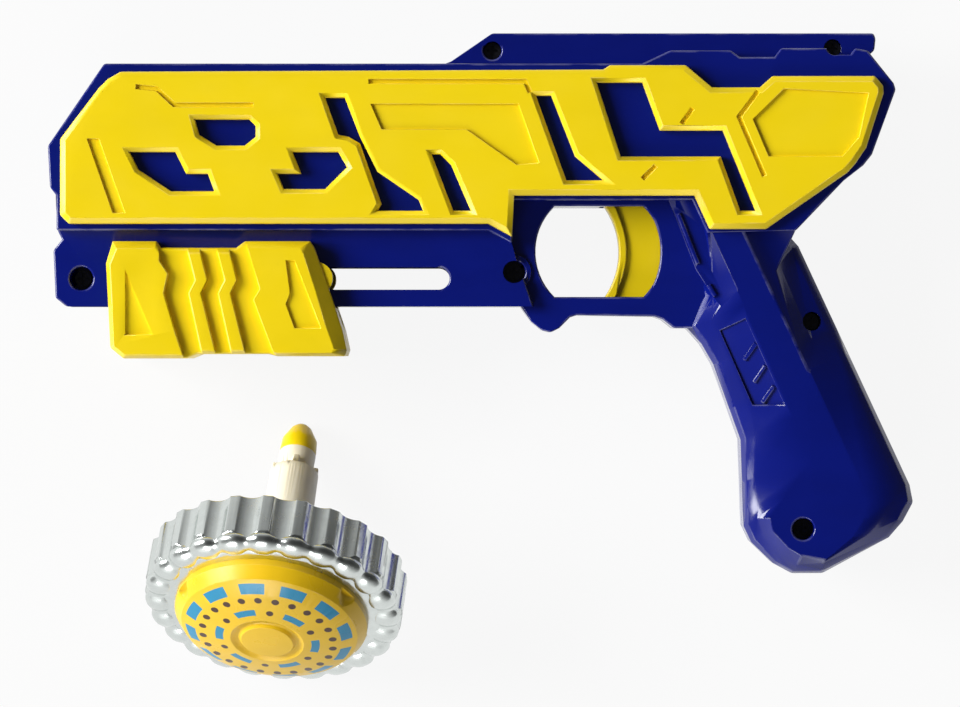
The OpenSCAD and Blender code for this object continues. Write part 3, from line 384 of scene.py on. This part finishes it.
def printed_cap(colours):
    """Yellow cap with a plain ring of bars and dots printed on it."""
    material = plastic("cap_yellow", colours.cap, gloss=0.3, scuffs=0.4, depth=0.05 * MM)
    tree = material.node_tree
    shader = next(n for n in tree.nodes if n.type == "BSDF_PRINCIPLED")
    base = shader.inputs["Base Color"].links[0].from_socket
    place = tree.nodes.new("ShaderNodeTexCoord").outputs["Object"]
    own = tree.nodes.new("ShaderNodeMapping")
    own.vector_type = "TEXTURE"
    own.inputs["Location"].default_value = TOP_JOINT["pos_m"]
    own.inputs["Rotation"].default_value = top_turn()
    tree.links.new(place, own.inputs["Vector"])
    split = tree.nodes.new("ShaderNodeSeparateXYZ")
    tree.links.new(own.outputs["Vector"], split.inputs["Vector"])
    radius = hypotenuse(tree, split.outputs["X"], split.outputs["Y"])
    angle = math_node(tree, "ARCTAN2", split.outputs["Y"], split.outputs["X"])

    def from_marks(count, shift, centre):
        """Distances along and across a circle from the nearest of count places on it."""
        turns = math_node(tree, "MULTIPLY", angle, count / (2 * math.pi))
        part = math_node(tree, "FRACT", math_node(tree, "ADD", turns, shift))
        from_middle = math_node(tree, "ABSOLUTE", math_node(tree, "SUBTRACT", part, 0.5))
        along = math_node(tree, "MULTIPLY", from_middle, 2 * math.pi * centre / count)
        across = math_node(tree, "ABSOLUTE", math_node(tree, "SUBTRACT", radius, centre))
        return along, across

    def bars(count, shift, centre, half_width, half_span):
        """Mask of count bars round a circle."""
        along, across = from_marks(count, shift, centre)
        lengthwise = remap(tree, along, half_span, half_span - PRINT_SOFT)
        crosswise = remap(tree, across, half_width, half_width - PRINT_SOFT)
        return math_node(tree, "MULTIPLY", lengthwise, crosswise)

    def dots(count, shift, centre, size):
        """Mask of count round dots on a circle."""
        along, across = from_marks(count, shift, centre)
        return remap(tree, hypotenuse(tree, along, across), size, size - PRINT_SOFT)

    outer_bars = bars(12, shift=0.0, centre=OUTER_BARS, half_width=1.3 * MM, half_span=3.0 * MM)
    inner_bars = bars(6, shift=0.5, centre=INNER_MARKS, half_width=1.0 * MM, half_span=2.6 * MM)
    outer_dots = dots(24, shift=0.25, centre=OUTER_DOTS, size=0.95 * MM)
    inner_dots = dots(6, shift=0.0, centre=INNER_MARKS, size=0.9 * MM)
    light = math_node(tree, "MAXIMUM", outer_bars, inner_bars)
    dark = math_node(tree, "MAXIMUM", outer_dots, inner_dots)
    inked = blend_colour(tree, light, base, tuple(colours.print_light))
    tree.links.new(blend_colour(tree, dark, inked, tuple(colours.print_dark)), shader.inputs["Base Color"])
    return material


def make_materials(scene):
    """Builds the shared groups and every finish once."""
    if "shell_blue" in bpy.data.materials:
        return
    colours = scene.launcher_colours
    moulded_group()
    scuff_group()
    wear_group()
    plastic("shell_blue", colours.shell, gloss=0.12, scuffs=0.4, depth=0.05 * MM, deep_share=0.6)
    plastic("panel_yellow", colours.panel, gloss=0.33, scuffs=0.5, depth=0.06 * MM, deep_share=0.86)
    plastic("stem_white", colours.stem, gloss=0.36, scuffs=0.3, depth=0.05 * MM, deep_share=0.9)
    plastic("inner_grey", colours.inner, gloss=0.4, scuffs=0.3, depth=0.05 * MM)
    metal("ring_chrome", colours.chrome, gloss=0.2, scuffs=0.6, stretch=(1.0, 1.0, 1.0))
    metal("screw_black", colours.screw, gloss=0.34, scuffs=0.5, stretch=(6.0, 6.0, 1.0))
    metal("pin_steel", colours.steel, gloss=0.28, scuffs=0.5, stretch=(6.0, 6.0, 1.0))
    metal("spring_wire", colours.steel, gloss=0.32, scuffs=0.2, stretch=(1.0, 8.0, 8.0))
    printed_cap(colours)


# Rounding of outer edges
def all_faces_tree():
    """One search tree over every CAD node, to tell outer edges from hidden ones."""
    points = []
    faces = []
    for node in frame["nodes"].values():
        first = len(points)
        points.extend(v.co.copy() for v in node.data.vertices)
        faces.extend([first + i for i in f.vertices] for f in node.data.polygons)
    return BVHTree.FromPolygons(points, faces)


OPEN_AIR = all_faces_tree()

# Bends that tell flat, sharp, running, folded and smooth edges apart
FLAT_ANGLE = math.radians(0.6)
SHARP_ANGLE = math.radians(24.0)
RUN_ANGLE = math.radians(145.0)
FOLD_ANGLE = math.radians(150.0)
SMOOTH_ANGLE = math.radians(40.0)

# Lengths and areas too small to matter
WELD = 0.0005 * MM
LEAST_WAY = 0.2
LEAST_GAP = 0.001 * MM
SMALL_AREA = 0.003 * MM * MM
AREA_SLACK = 0.0005

# Room that a rounding may take in a field, and where along an edge it is measured
CLEAR_STEP = 0.3 * MM
FREE_ROOM = 1.0
GAP_SHARE = 0.45
EDGE_SHARE = 0.9
LEAST_SHARE = 0.15
PROBES = (0.25, 0.5, 0.75)

# Rounding tries, and how much narrower each one is where a field folds
ATTEMPTS = 4
SHRINK = 0.4
ROUNDING_SEGMENTS = 2


def is_outer(edge):
    """True where a straight way leads from the edge to the open."""
    first, second = edge.link_faces
    way = first.normal + second.normal
    if way.length < LEAST_WAY:
        return False
    way.normalize()
    middle = (edge.verts[0].co + edge.verts[1].co) / 2
    return OPEN_AIR.ray_cast(middle + way * CLEAR_STEP, way)[0] is None


def number_flats(mesh):
    """Numbers the flat fields of a mesh on its faces, and gives back their normals."""
    flat = mesh.faces.layers.int.new("flat")
    normals = {}
    for first in mesh.faces:
        if first[flat]:
            continue
        number = len(normals) + 1
        normals[number] = first.normal.copy()
        first[flat] = number
        waiting = [first]
        while waiting:
            for edge in waiting.pop().edges:
                if edge.calc_face_angle() > FLAT_ANGLE:
                    continue
                for other in edge.link_faces:
                    if not other[flat]:
                        other[flat] = number
                        waiting.append(other)
    return normals


def outlines_of(mesh):
    """The outline edges of each flat field, by its number."""
    flat = mesh.faces.layers.int["flat"]
    outlines = {}
    for edge in mesh.edges:
        first, second = (face[flat] for face in edge.link_faces)
        if first != second:
            outlines.setdefault(first, []).append(edge)
            outlines.setdefault(second, []).append(edge)
    return outlines


def corner_use(edge, other, vert, inward):
    """Length of an edge that a corner takes up, for each unit of rounding."""
    first = edge.other_vert(vert).co - vert.co
    second = other.other_vert(vert).co - vert.co
    if second.dot(inward) <= 0.0:
        return 0.0
    return 1.0 / math.tan(first.angle(second) / 2)


def room_for(loop, outline, chosen):
    """Widest rounding that fits in the field on a loop's side of its edge."""
    start = loop.vert.co
    along = loop.link_loop_next.vert.co - start
    length = along.length
    along.normalize()
    inward = loop.face.normal.cross(along)
    room = FREE_ROOM
    corners = 0.0
    for other in outline:
        if other is loop.edge:
            continue
        for vert in loop.edge.verts:
            if other in chosen and vert in other.verts:
                corners += corner_use(loop.edge, other, vert, inward)
        ends = [v.co - start for v in other.verts]
        low, high = (end.dot(along) for end in ends)
        for share in PROBES:
            before, after = low - share * length, high - share * length
            if before * after > 0.0 or before == after:
                continue
            way = ends[0].lerp(ends[1], before / (before - after)).dot(inward)
            if way > LEAST_GAP:
                room = min(room, GAP_SHARE * way)
    return min(room, EDGE_SHARE * length / corners) if corners else room


def even_out(shares):
    """Gives each smooth run of edges the least share found along it."""
    for first in sorted(shares, key=shares.get):
        waiting = [first]
        while waiting:
            edge = waiting.pop()
            for vert in edge.verts:
                ends = [e for e in vert.link_edges if e in shares]
                if len(ends) != 2:
                    continue
                other = ends[0] if ends[1] is edge else ends[1]
                here = edge.other_vert(vert).co - vert.co
                onward = other.other_vert(vert).co - vert.co
                if here.angle(onward) > RUN_ANGLE and shares[other] > shares[edge]:
                    shares[other] = shares[edge]
                    waiting.append(other)


def weigh_edges(mesh, radius, limits):
    """Marks each outer sharp edge with the share of the radius that it has room for."""
    weight = mesh.edges.layers.float.new("bevel_weight_edge")
    flat = mesh.faces.layers.int["flat"]
    outlines = outlines_of(mesh)
    shares = {e: 1.0 for e in mesh.edges if e.calc_face_angle_signed() > SHARP_ANGLE and is_outer(e)}
    for edge in shares:
        for loop in edge.link_loops:
            number = loop.face[flat]
            room = room_for(loop, outlines[number], shares) / radius
            shares[edge] = min(shares[edge], room, limits.get(number, 1.0))
    even_out(shares)
    for edge, share in shares.items():
        edge[weight] = share if share > LEAST_SHARE else 0.0


def folded_fields(mesh):
    """Faces and true area of each flat field whose triangles lie over one another."""
    flat = mesh.faces.layers.int["flat"]
    faces = {}
    spread = {}
    vectors = {}
    for corners in mesh.calc_loop_triangles():
        face = corners[0].face
        if face.material_index:
            continue
        number = face[flat]
        first, second, third = (c.vert.co for c in corners)
        cross = (second - first).cross(third - first) / 2
        faces.setdefault(number, {})[face] = True
        spread[number] = spread.get(number, 0.0) + cross.length
        vectors[number] = vectors.get(number, Vector()) + cross
    least = {number: vectors[number].length for number in faces}
    return {
        n: (faces[n], least[n]) for n in faces if spread[n] > least[n] * (1.0 + AREA_SLACK) + SMALL_AREA
    }


def refill_flats(mesh, normals):
    """Fills folded fields anew from their outlines, and gives back the fields that stay folded."""
    flat = mesh.faces.layers.int["flat"]
    stay = set()
    for number, (faces, area) in folded_fields(mesh).items():
        edges = dict.fromkeys(e for f in faces for e in f.edges)
        rim = [e for e in edges if sum(f in faces for f in e.link_faces) == 1]
        made = bmesh.ops.triangle_fill(mesh, use_beauty=True, edges=rim, normal=normals[number])["geom"]
        made = [item for item in made if isinstance(item, bmesh.types.BMFace)]
        whole = all(sum(f in made for f in e.link_faces) == 1 for e in rim)
        off = abs(sum(f.calc_area() for f in made) - area)
        good = whole and off < area * AREA_SLACK + SMALL_AREA
        for face in made:
            face[flat] = number
            face.material_index = 0
            face.normal_update()
            if face.normal.dot(normals[number]) < 0.0:
                face.normal_flip()
        bmesh.ops.delete(mesh, geom=list(faces) if good else made, context="FACES_KEEP_BOUNDARY")
        if not good:
            stay.add(number)
    bmesh.ops.delete(mesh, geom=[e for e in mesh.edges if not e.link_faces], context="EDGES")
    for edge in mesh.edges:
        if edge.calc_face_angle(0.0) > FOLD_ANGLE:
            stay.update(face[flat] for face in edge.link_faces)
    return stay


def mark_rims(mesh):
    """Keeps the faces that the rounding has made as a mask on the mesh."""
    mesh.faces.layers.int.remove(mesh.faces.layers.int["flat"])
    mesh.edges.layers.float.remove(mesh.edges.layers.float["bevel_weight_edge"])
    rim = mesh.faces.layers.float.new("rim")
    for face in mesh.faces:
        face[rim] = float(face.material_index)
        face.material_index = 0


def round_edges(piece, radius, limits):
    """Rounds a piece's outer edges in place, and gives back the fields that came out folded."""
    bpy.ops.object.mode_set(mode="EDIT")
    bpy.ops.mesh.select_mode(type="EDGE")
    bpy.ops.mesh.select_all(action="SELECT")
    bpy.ops.mesh.remove_doubles(threshold=WELD)
    bpy.ops.mesh.dissolve_limited(angle_limit=FLAT_ANGLE)
    bpy.ops.object.mode_set(mode="OBJECT")
    mesh = bmesh.new()
    mesh.from_mesh(piece.data)
    normals = number_flats(mesh)
    weigh_edges(mesh, radius, limits)
    mesh.to_mesh(piece.data)
    bpy.ops.object.modifier_add(type="BEVEL")
    rounding = piece.modifiers[-1]
    rounding.limit_method = "WEIGHT"
    rounding.width = radius
    rounding.segments = ROUNDING_SEGMENTS
    rounding.use_clamp_overlap = False
    rounding.loop_slide = False
    rounding.material = 1
    bpy.ops.object.modifier_apply(modifier=rounding.name)
    mesh.clear()
    mesh.from_mesh(piece.data)
    folded = refill_flats(mesh, normals)
    mark_rims(mesh)
    mesh.to_mesh(piece.data)
    mesh.free()
    return folded


def merge_form(piece, added):
    """Unites the active piece with an added form, with a crisp line where the two meet."""
    bpy.ops.object.modifier_add(type="BOOLEAN")
    union = piece.modifiers[-1]
    union.operation = "UNION"
    union.object = added
    bpy.ops.object.modifier_apply(modifier=union.name)
    bpy.data.meshes.remove(added.data)
    mesh = bmesh.new()
    mesh.from_mesh(piece.data)
    for edge in mesh.edges:
        if len({face.material_index for face in edge.link_faces}) == 2:
            edge.smooth = False
    for face in mesh.faces:
        face.material_index = 0
    mesh.to_mesh(piece.data)
    mesh.free()


def paint(mesh, material, slots=1):
    """Gives a mesh one finish, in one or more slots."""
    mesh.materials.clear()
    for _ in range(slots):
        mesh.materials.append(bpy.data.materials[material])


def copy_of(node, suffix):
    """A copy of a CAD node, made the active object."""
    piece = bpy.data.objects.new(node + suffix, frame["nodes"][node].data.copy())
    bpy.context.scene.collection.objects.link(piece)
    bpy.ops.object.select_all(action="DESELECT")
    piece.select_set(True)
    bpy.context.view_layer.objects.active = piece
    return piece


def rounded_copy(node, material, radius, body, added=None):
    """Puts a copy with rounded outer edges, and any added form merged in, in place of a CAD node."""
    piece = copy_of(node, "_moulded")
    limits = {}
    for _ in range(ATTEMPTS):
        spent = piece.data
        piece.data = frame["nodes"][node].data.copy()
        bpy.data.meshes.remove(spent)
        paint(piece.data, material, slots=2)
        folded = round_edges(piece, radius, limits)
        if not folded:
            break
        limits.update({number: limits.get(number, 1.0) * SHRINK for number in folded})
    if added:
        merge_form(piece, added)
    piece.data.materials.pop(index=1)
    bpy.ops.object.shade_smooth_by_angle(angle=SMOOTH_ANGLE)
    bpy.ops.object.modifier_add(type="WEIGHTED_NORMAL")
    piece.modifiers[-1].keep_sharp = True
    bpy.ops.object.modifier_apply(modifier=piece.modifiers[-1].name)
    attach(piece, body)
    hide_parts(node)


def finish_node(node, material):
    """Gives a CAD node that stays as it is its finish."""
    paint(frame["nodes"][node].data, material)


# Steps
class LAUNCHER_OT_shells(bpy.types.Operator):
    """Rounds and colours the two shells"""

    bl_idname = "launcher.shells"
    bl_label = "Shells"

    def execute(self, context):
        make_materials(context.scene)
        edges = context.scene.launcher_edges
        for node in ("left_shell", "right_shell"):
            rounded_copy(node, "shell_blue", edges.shell, "case")
        return {"FINISHED"}


class LAUNCHER_OT_panels(bpy.types.Operator):
    """Rounds and colours the side panels"""

    bl_idname = "launcher.panels"
    bl_label = "Panels"

    def execute(self, context):
        make_materials(context.scene)
        edges = context.scene.launcher_edges
        for node in ("left_panel", "right_panel"):
            rounded_copy(node, "panel_yellow", edges.panel, "case")
        return {"FINISHED"}


class LAUNCHER_OT_pump(bpy.types.Operator):
    """Rounds and colours the pump grip, and finishes its rack"""

    bl_idname = "launcher.pump"
    bl_label = "Pump"

    def execute(self, context):
        make_materials(context.scene)
        edges = context.scene.launcher_edges
        for node in ("pump_left", "pump_right"):
            rounded_copy(node, "panel_yellow", edges.pump, "pump")
        finish_node("rack_slider", "stem_white")
        return {"FINISHED"}


class LAUNCHER_OT_trigger(bpy.types.Operator):
    """Rounds and colours the trigger, and finishes its catch"""

    bl_idname = "launcher.trigger"
    bl_label = "Trigger"

    def execute(self, context):
        make_materials(context.scene)
        edges = context.scene.launcher_edges
        rounded_copy("trigger", "panel_yellow", edges.trigger, "trigger")
        finish_node("sear", "inner_grey")
        finish_node("sear_pin", "pin_steel")
        return {"FINISHED"}


class LAUNCHER_OT_drive(bpy.types.Operator):
    """Finishes the gears, the shaft and the bushes"""

    bl_idname = "launcher.drive"
    bl_label = "Drive"

    def execute(self, context):
        make_materials(context.scene)
        for node in ("front_bush", "rear_bush", "launch_head"):
            finish_node(node, "inner_grey")
        for node in ("gear_arbor", "output_shaft", "shaft_pinion", "spring_rod"):
            finish_node(node, "pin_steel")
        finish_node("crown_gear", "stem_white")
        return {"FINISHED"}


class LAUNCHER_OT_springs(bpy.types.Operator):
    """Finishes the three springs and puts smoothed copies in their place"""

    bl_idname = "launcher.springs"
    bl_label = "Springs"

    def execute(self, context):
        make_materials(context.scene)
        self.closing_spring("main_spring", "pump_slide", 0, PUMP_TRAVEL)
        self.closing_spring("trigger_spring", "trigger_slide", 0, TRIGGER_TRAVEL)
        self.closing_spring("sear_spring", "trigger_slide", 1, SEAR_LIFT)
        return {"FINISHED"}

    def closing_spring(self, node, joint, side, travel):
        """Puts a merged, smoothed copy in place of a spring, without closing it up; the joint and the
        travel are not used.
        """
        spring = copy_of(node, "_wound")
        bpy.ops.object.mode_set(mode="EDIT")
        bpy.ops.mesh.select_all(action="SELECT")
        bpy.ops.mesh.remove_doubles(threshold=WELD)
        bpy.ops.object.mode_set(mode="OBJECT")
        bpy.ops.object.shade_smooth_by_angle(angle=SMOOTH_ANGLE)
        paint(spring.data, "spring_wire")
        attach(spring, "case")
        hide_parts(node)
        way = Vector((0.0, 0.0, 0.0))
        way[side] = 1.0
        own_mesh(spring)


class LAUNCHER_OT_screws(bpy.types.Operator):
    """Finishes the screws"""

    bl_idname = "launcher.screws"
    bl_label = "Screws"

    def execute(self, context):
        make_materials(context.scene)
        for node in ("case_screws", "pump_screws", "top_screws"):
            finish_node(node, "screw_black")
        return {"FINISHED"}


class LAUNCHER_OT_top(bpy.types.Operator):
    """Rounds and colours the spinning top"""

    bl_idname = "launcher.top"
    bl_label = "Spinning top"

    def execute(self, context):
        make_materials(context.scene)
        edges = context.scene.launcher_edges
        rounded_copy("top_ring", "ring_chrome", edges.ring, "top", self.make_roll())
        rounded_copy("top_cap", "cap_yellow", edges.cap, "top")
        rounded_copy("top_hub", "stem_white", edges.cap, "top")
        rounded_copy("top_tip", "panel_yellow", edges.cap, "top")
        finish_node("top_weight", "pin_steel")
        return {"FINISHED"}

    def make_roll(self):
        """A wavy roll along the ring's front band, with a lump in front of each rib."""
        place = Matrix.Translation(TOP_JOINT["pos_m"]) @ top_turn().to_matrix().to_4x4()
        inner = place.inverted()
        points = [inner @ v.co for v in frame["nodes"]["top_ring"].data.vertices]
        back = [p for p in points if abs(p.z) < RING_BACK and p.xy.length > LUMP_RADIUS]
        groove = min(back, key=lambda p: p.xy.length)
        first = math.atan2(groove.y, groove.x) + math.pi / LUMPS
        bpy.ops.mesh.primitive_torus_add(
            major_segments=LUMP_STEPS * LUMPS, minor_segments=ROLL_STEPS,
            major_radius=LUMP_RADIUS, minor_radius=ROLL_UNIT,
        )
        roll = bpy.context.object
        paint(roll.data, "ring_chrome", slots=2)
        for vert in roll.data.vertices:
            turn = math.atan2(vert.co.y, vert.co.x)
            size = 1.0 - LUMP_DIP * math.sin((turn - first) * LUMPS / 2) ** DIP_POWER
            across = LUMP_RADIUS + (vert.co.xy.length - LUMP_RADIUS) / ROLL_UNIT * LUMP_WIDTH * size
            along = LUMP_HEIGHT + vert.co.z / ROLL_UNIT * LUMP_RISE * size
            vert.co = place @ Vector((across * math.cos(turn), across * math.sin(turn), along))
        for face in roll.data.polygons:
            face.material_index = 1
        return roll


# Stage
FLOOR_SIZE = 6.0
FLOOR_ROUGHNESS = 0.7
FLOOR_SHADE = 0.985
KEY_PLACE = (-2.9, 0.7, 1.6)
KEY_SIZE = 1.8
FILL_PLACE = (-0.7, -2.0, 1.2)
FILL_SIZE = 1.0
LEFT_GLOW = 1.3
RIGHT_GLOW = 0.35
SIDE_SPAN = 0.6
NEAR_GLOW = 4.0
FAR_GLOW = 2.2
GLOW_START = 0.5
GLOW_FULL = 0.95
CAMERA_REACH = 20.0


def seen_directly(tree):
    """One for rays from the camera, mirrors and glass."""
    path = tree.nodes.new("ShaderNodeLightPath")
    either = math_node(tree, "MAXIMUM", path.outputs["Is Camera Ray"], path.outputs["Is Glossy Ray"])
    return math_node(tree, "MAXIMUM", either, path.outputs["Is Transmission Ray"])


def floor_material(stage):
    """Plain pale floor that is nearly white as it is seen, and still takes shadows."""
    material, tree, shader = new_material("floor_white")
    place = tree.nodes.new("ShaderNodeTexCoord").outputs["Object"]
    speck = remap(tree, noise(tree, place, scale=30.0, detail=2.0), 0.3, 0.7)
    pale = tuple(stage.floor)
    tree.links.new(blend_colour(tree, speck, pale, deeper(pale, FLOOR_SHADE)), shader.inputs["Base Color"])
    shader.inputs["Roughness"].default_value = FLOOR_ROUGHNESS
    glow = tree.nodes.new("ShaderNodeEmission")
    mixed = tree.nodes.new("ShaderNodeMixShader")
    tree.links.new(math_node(tree, "MULTIPLY", seen_directly(tree), stage.ground), mixed.inputs[0])
    tree.links.new(shader.outputs[0], mixed.inputs[1])
    tree.links.new(glow.outputs[0], mixed.inputs[2])
    out = next(n for n in tree.nodes if n.type == "OUTPUT_MATERIAL")
    tree.links.new(mixed.outputs[0], out.inputs["Surface"])
    return material


class LAUNCHER_OT_stage(bpy.types.Operator):
    """Sets the floor, the lamps, the world and the camera"""

    bl_idname = "launcher.stage"
    bl_label = "Stage"

    def execute(self, context):
        scene = context.scene
        stage = scene.launcher_stage
        self.make_floor(stage)
        self.add_lamp("key_lamp", stage.key, KEY_SIZE, KEY_PLACE)
        self.add_lamp("fill_lamp", stage.fill, FILL_SIZE, FILL_PLACE)
        self.make_world(scene, stage)
        self.make_camera(scene, stage)
        scene.view_settings.view_transform = "Standard"
        return {"FINISHED"}

    def make_floor(self, stage):
        """A plain floor under the launcher and its top."""
        bpy.ops.object.select_all(action="DESELECT")
        bpy.ops.mesh.primitive_plane_add(size=FLOOR_SIZE, location=(0.0, 0.0, 0.0))
        floor = bpy.context.object
        floor.name = "floor"
        floor.data.materials.append(floor_material(stage))

    def add_lamp(self, name, power, size, place):
        """A square lamp that faces the middle of the floor."""
        bpy.ops.object.light_add(type="AREA", location=place)
        lamp = bpy.context.object
        lamp.name = name
        lamp.data.energy = power
        lamp.data.size = size
        lamp.rotation_euler = (-Vector(place)).to_track_quat("-Z", "Y").to_euler()

    def make_world(self, scene, stage):
        """Soft light from all round, dim above and brighter to the left and at both ends."""
        world = bpy.data.worlds.new("studio")
        world.use_nodes = True
        scene.world = world
        tree = world.node_tree
        light = next(n for n in tree.nodes if n.type == "BACKGROUND")
        split = tree.nodes.new("ShaderNodeSeparateXYZ")
        tree.links.new(tree.nodes.new("ShaderNodeTexCoord").outputs["Generated"], split.inputs["Vector"])
        height = remap(tree, split.outputs["Z"], 0.0, 1.0, stage.horizon, stage.zenith)
        side = remap(tree, split.outputs["X"], -SIDE_SPAN, SIDE_SPAN, LEFT_GLOW, RIGHT_GLOW)
        near = remap(tree, split.outputs["Y"], -GLOW_FULL, -GLOW_START, NEAR_GLOW, 1.0)
        far = remap(tree, split.outputs["Y"], GLOW_START, GLOW_FULL, 1.0, FAR_GLOW)
        across = math_node(tree, "MULTIPLY", height, side)
        level = math_node(tree, "MULTIPLY", across, math_node(tree, "MULTIPLY", near, far))
        light.inputs["Color"].default_value = (1.0, 1.0, 1.0, 1.0)
        tree.links.new(level, light.inputs["Strength"])

    def make_camera(self, scene, stage):
        """A camera that looks straight down, as the photograph does."""
        place = Vector(stage.aim) + Vector((0.0, 0.0, stage.distance))
        bpy.ops.object.camera_add(location=place, rotation=(0.0, 0.0, 0.0))
        camera = bpy.context.object
        camera.data.sensor_fit = "HORIZONTAL"
        camera.data.lens = camera.data.sensor_width * stage.distance / stage.width
        camera.data.clip_end = CAMERA_REACH
        scene.camera = camera


# Panel and registration
STEPS = (
    LAUNCHER_OT_shells,
    LAUNCHER_OT_panels,
    LAUNCHER_OT_pump,
    LAUNCHER_OT_trigger,
    LAUNCHER_OT_drive,
    LAUNCHER_OT_springs,
    LAUNCHER_OT_screws,
    LAUNCHER_OT_top,
    LAUNCHER_OT_stage,
)


class LAUNCHER_PT_sidebar(bpy.types.Panel):
    """Lists the steps of the build"""

    bl_idname = "LAUNCHER_PT_sidebar"
    bl_label = "Launcher"
    bl_space_type = "VIEW_3D"
    bl_region_type = "UI"
    bl_category = "Launcher"

    def draw(self, context):
        column = self.layout.column()
        for step in STEPS:
            column.operator(step.bl_idname)


GROUPS = (LauncherColours, LauncherEdges, LauncherStage)
CLASSES = GROUPS + STEPS + (LAUNCHER_PT_sidebar,)


def register():
    """Adds the steps, the sidebar and the settings to Blender."""
    for cls in CLASSES:
        bpy.utils.register_class(cls)
    bpy.types.Scene.launcher_colours = bpy.props.PointerProperty(type=LauncherColours)
    bpy.types.Scene.launcher_edges = bpy.props.PointerProperty(type=LauncherEdges)
    bpy.types.Scene.launcher_stage = bpy.props.PointerProperty(type=LauncherStage)


def unregister():
    """Takes them out again."""
    del bpy.types.Scene.launcher_stage
    del bpy.types.Scene.launcher_edges
    del bpy.types.Scene.launcher_colours
    for cls in reversed(CLASSES):
        bpy.utils.unregister_class(cls)


def main():
    register()
    bpy.ops.launcher.shells()
    bpy.ops.launcher.panels()
    bpy.ops.launcher.pump()
    bpy.ops.launcher.trigger()
    bpy.ops.launcher.drive()
    bpy.ops.launcher.springs()
    bpy.ops.launcher.screws()
    bpy.ops.launcher.top()
    bpy.ops.launcher.stage()


if __name__ == "__main__":
    main()
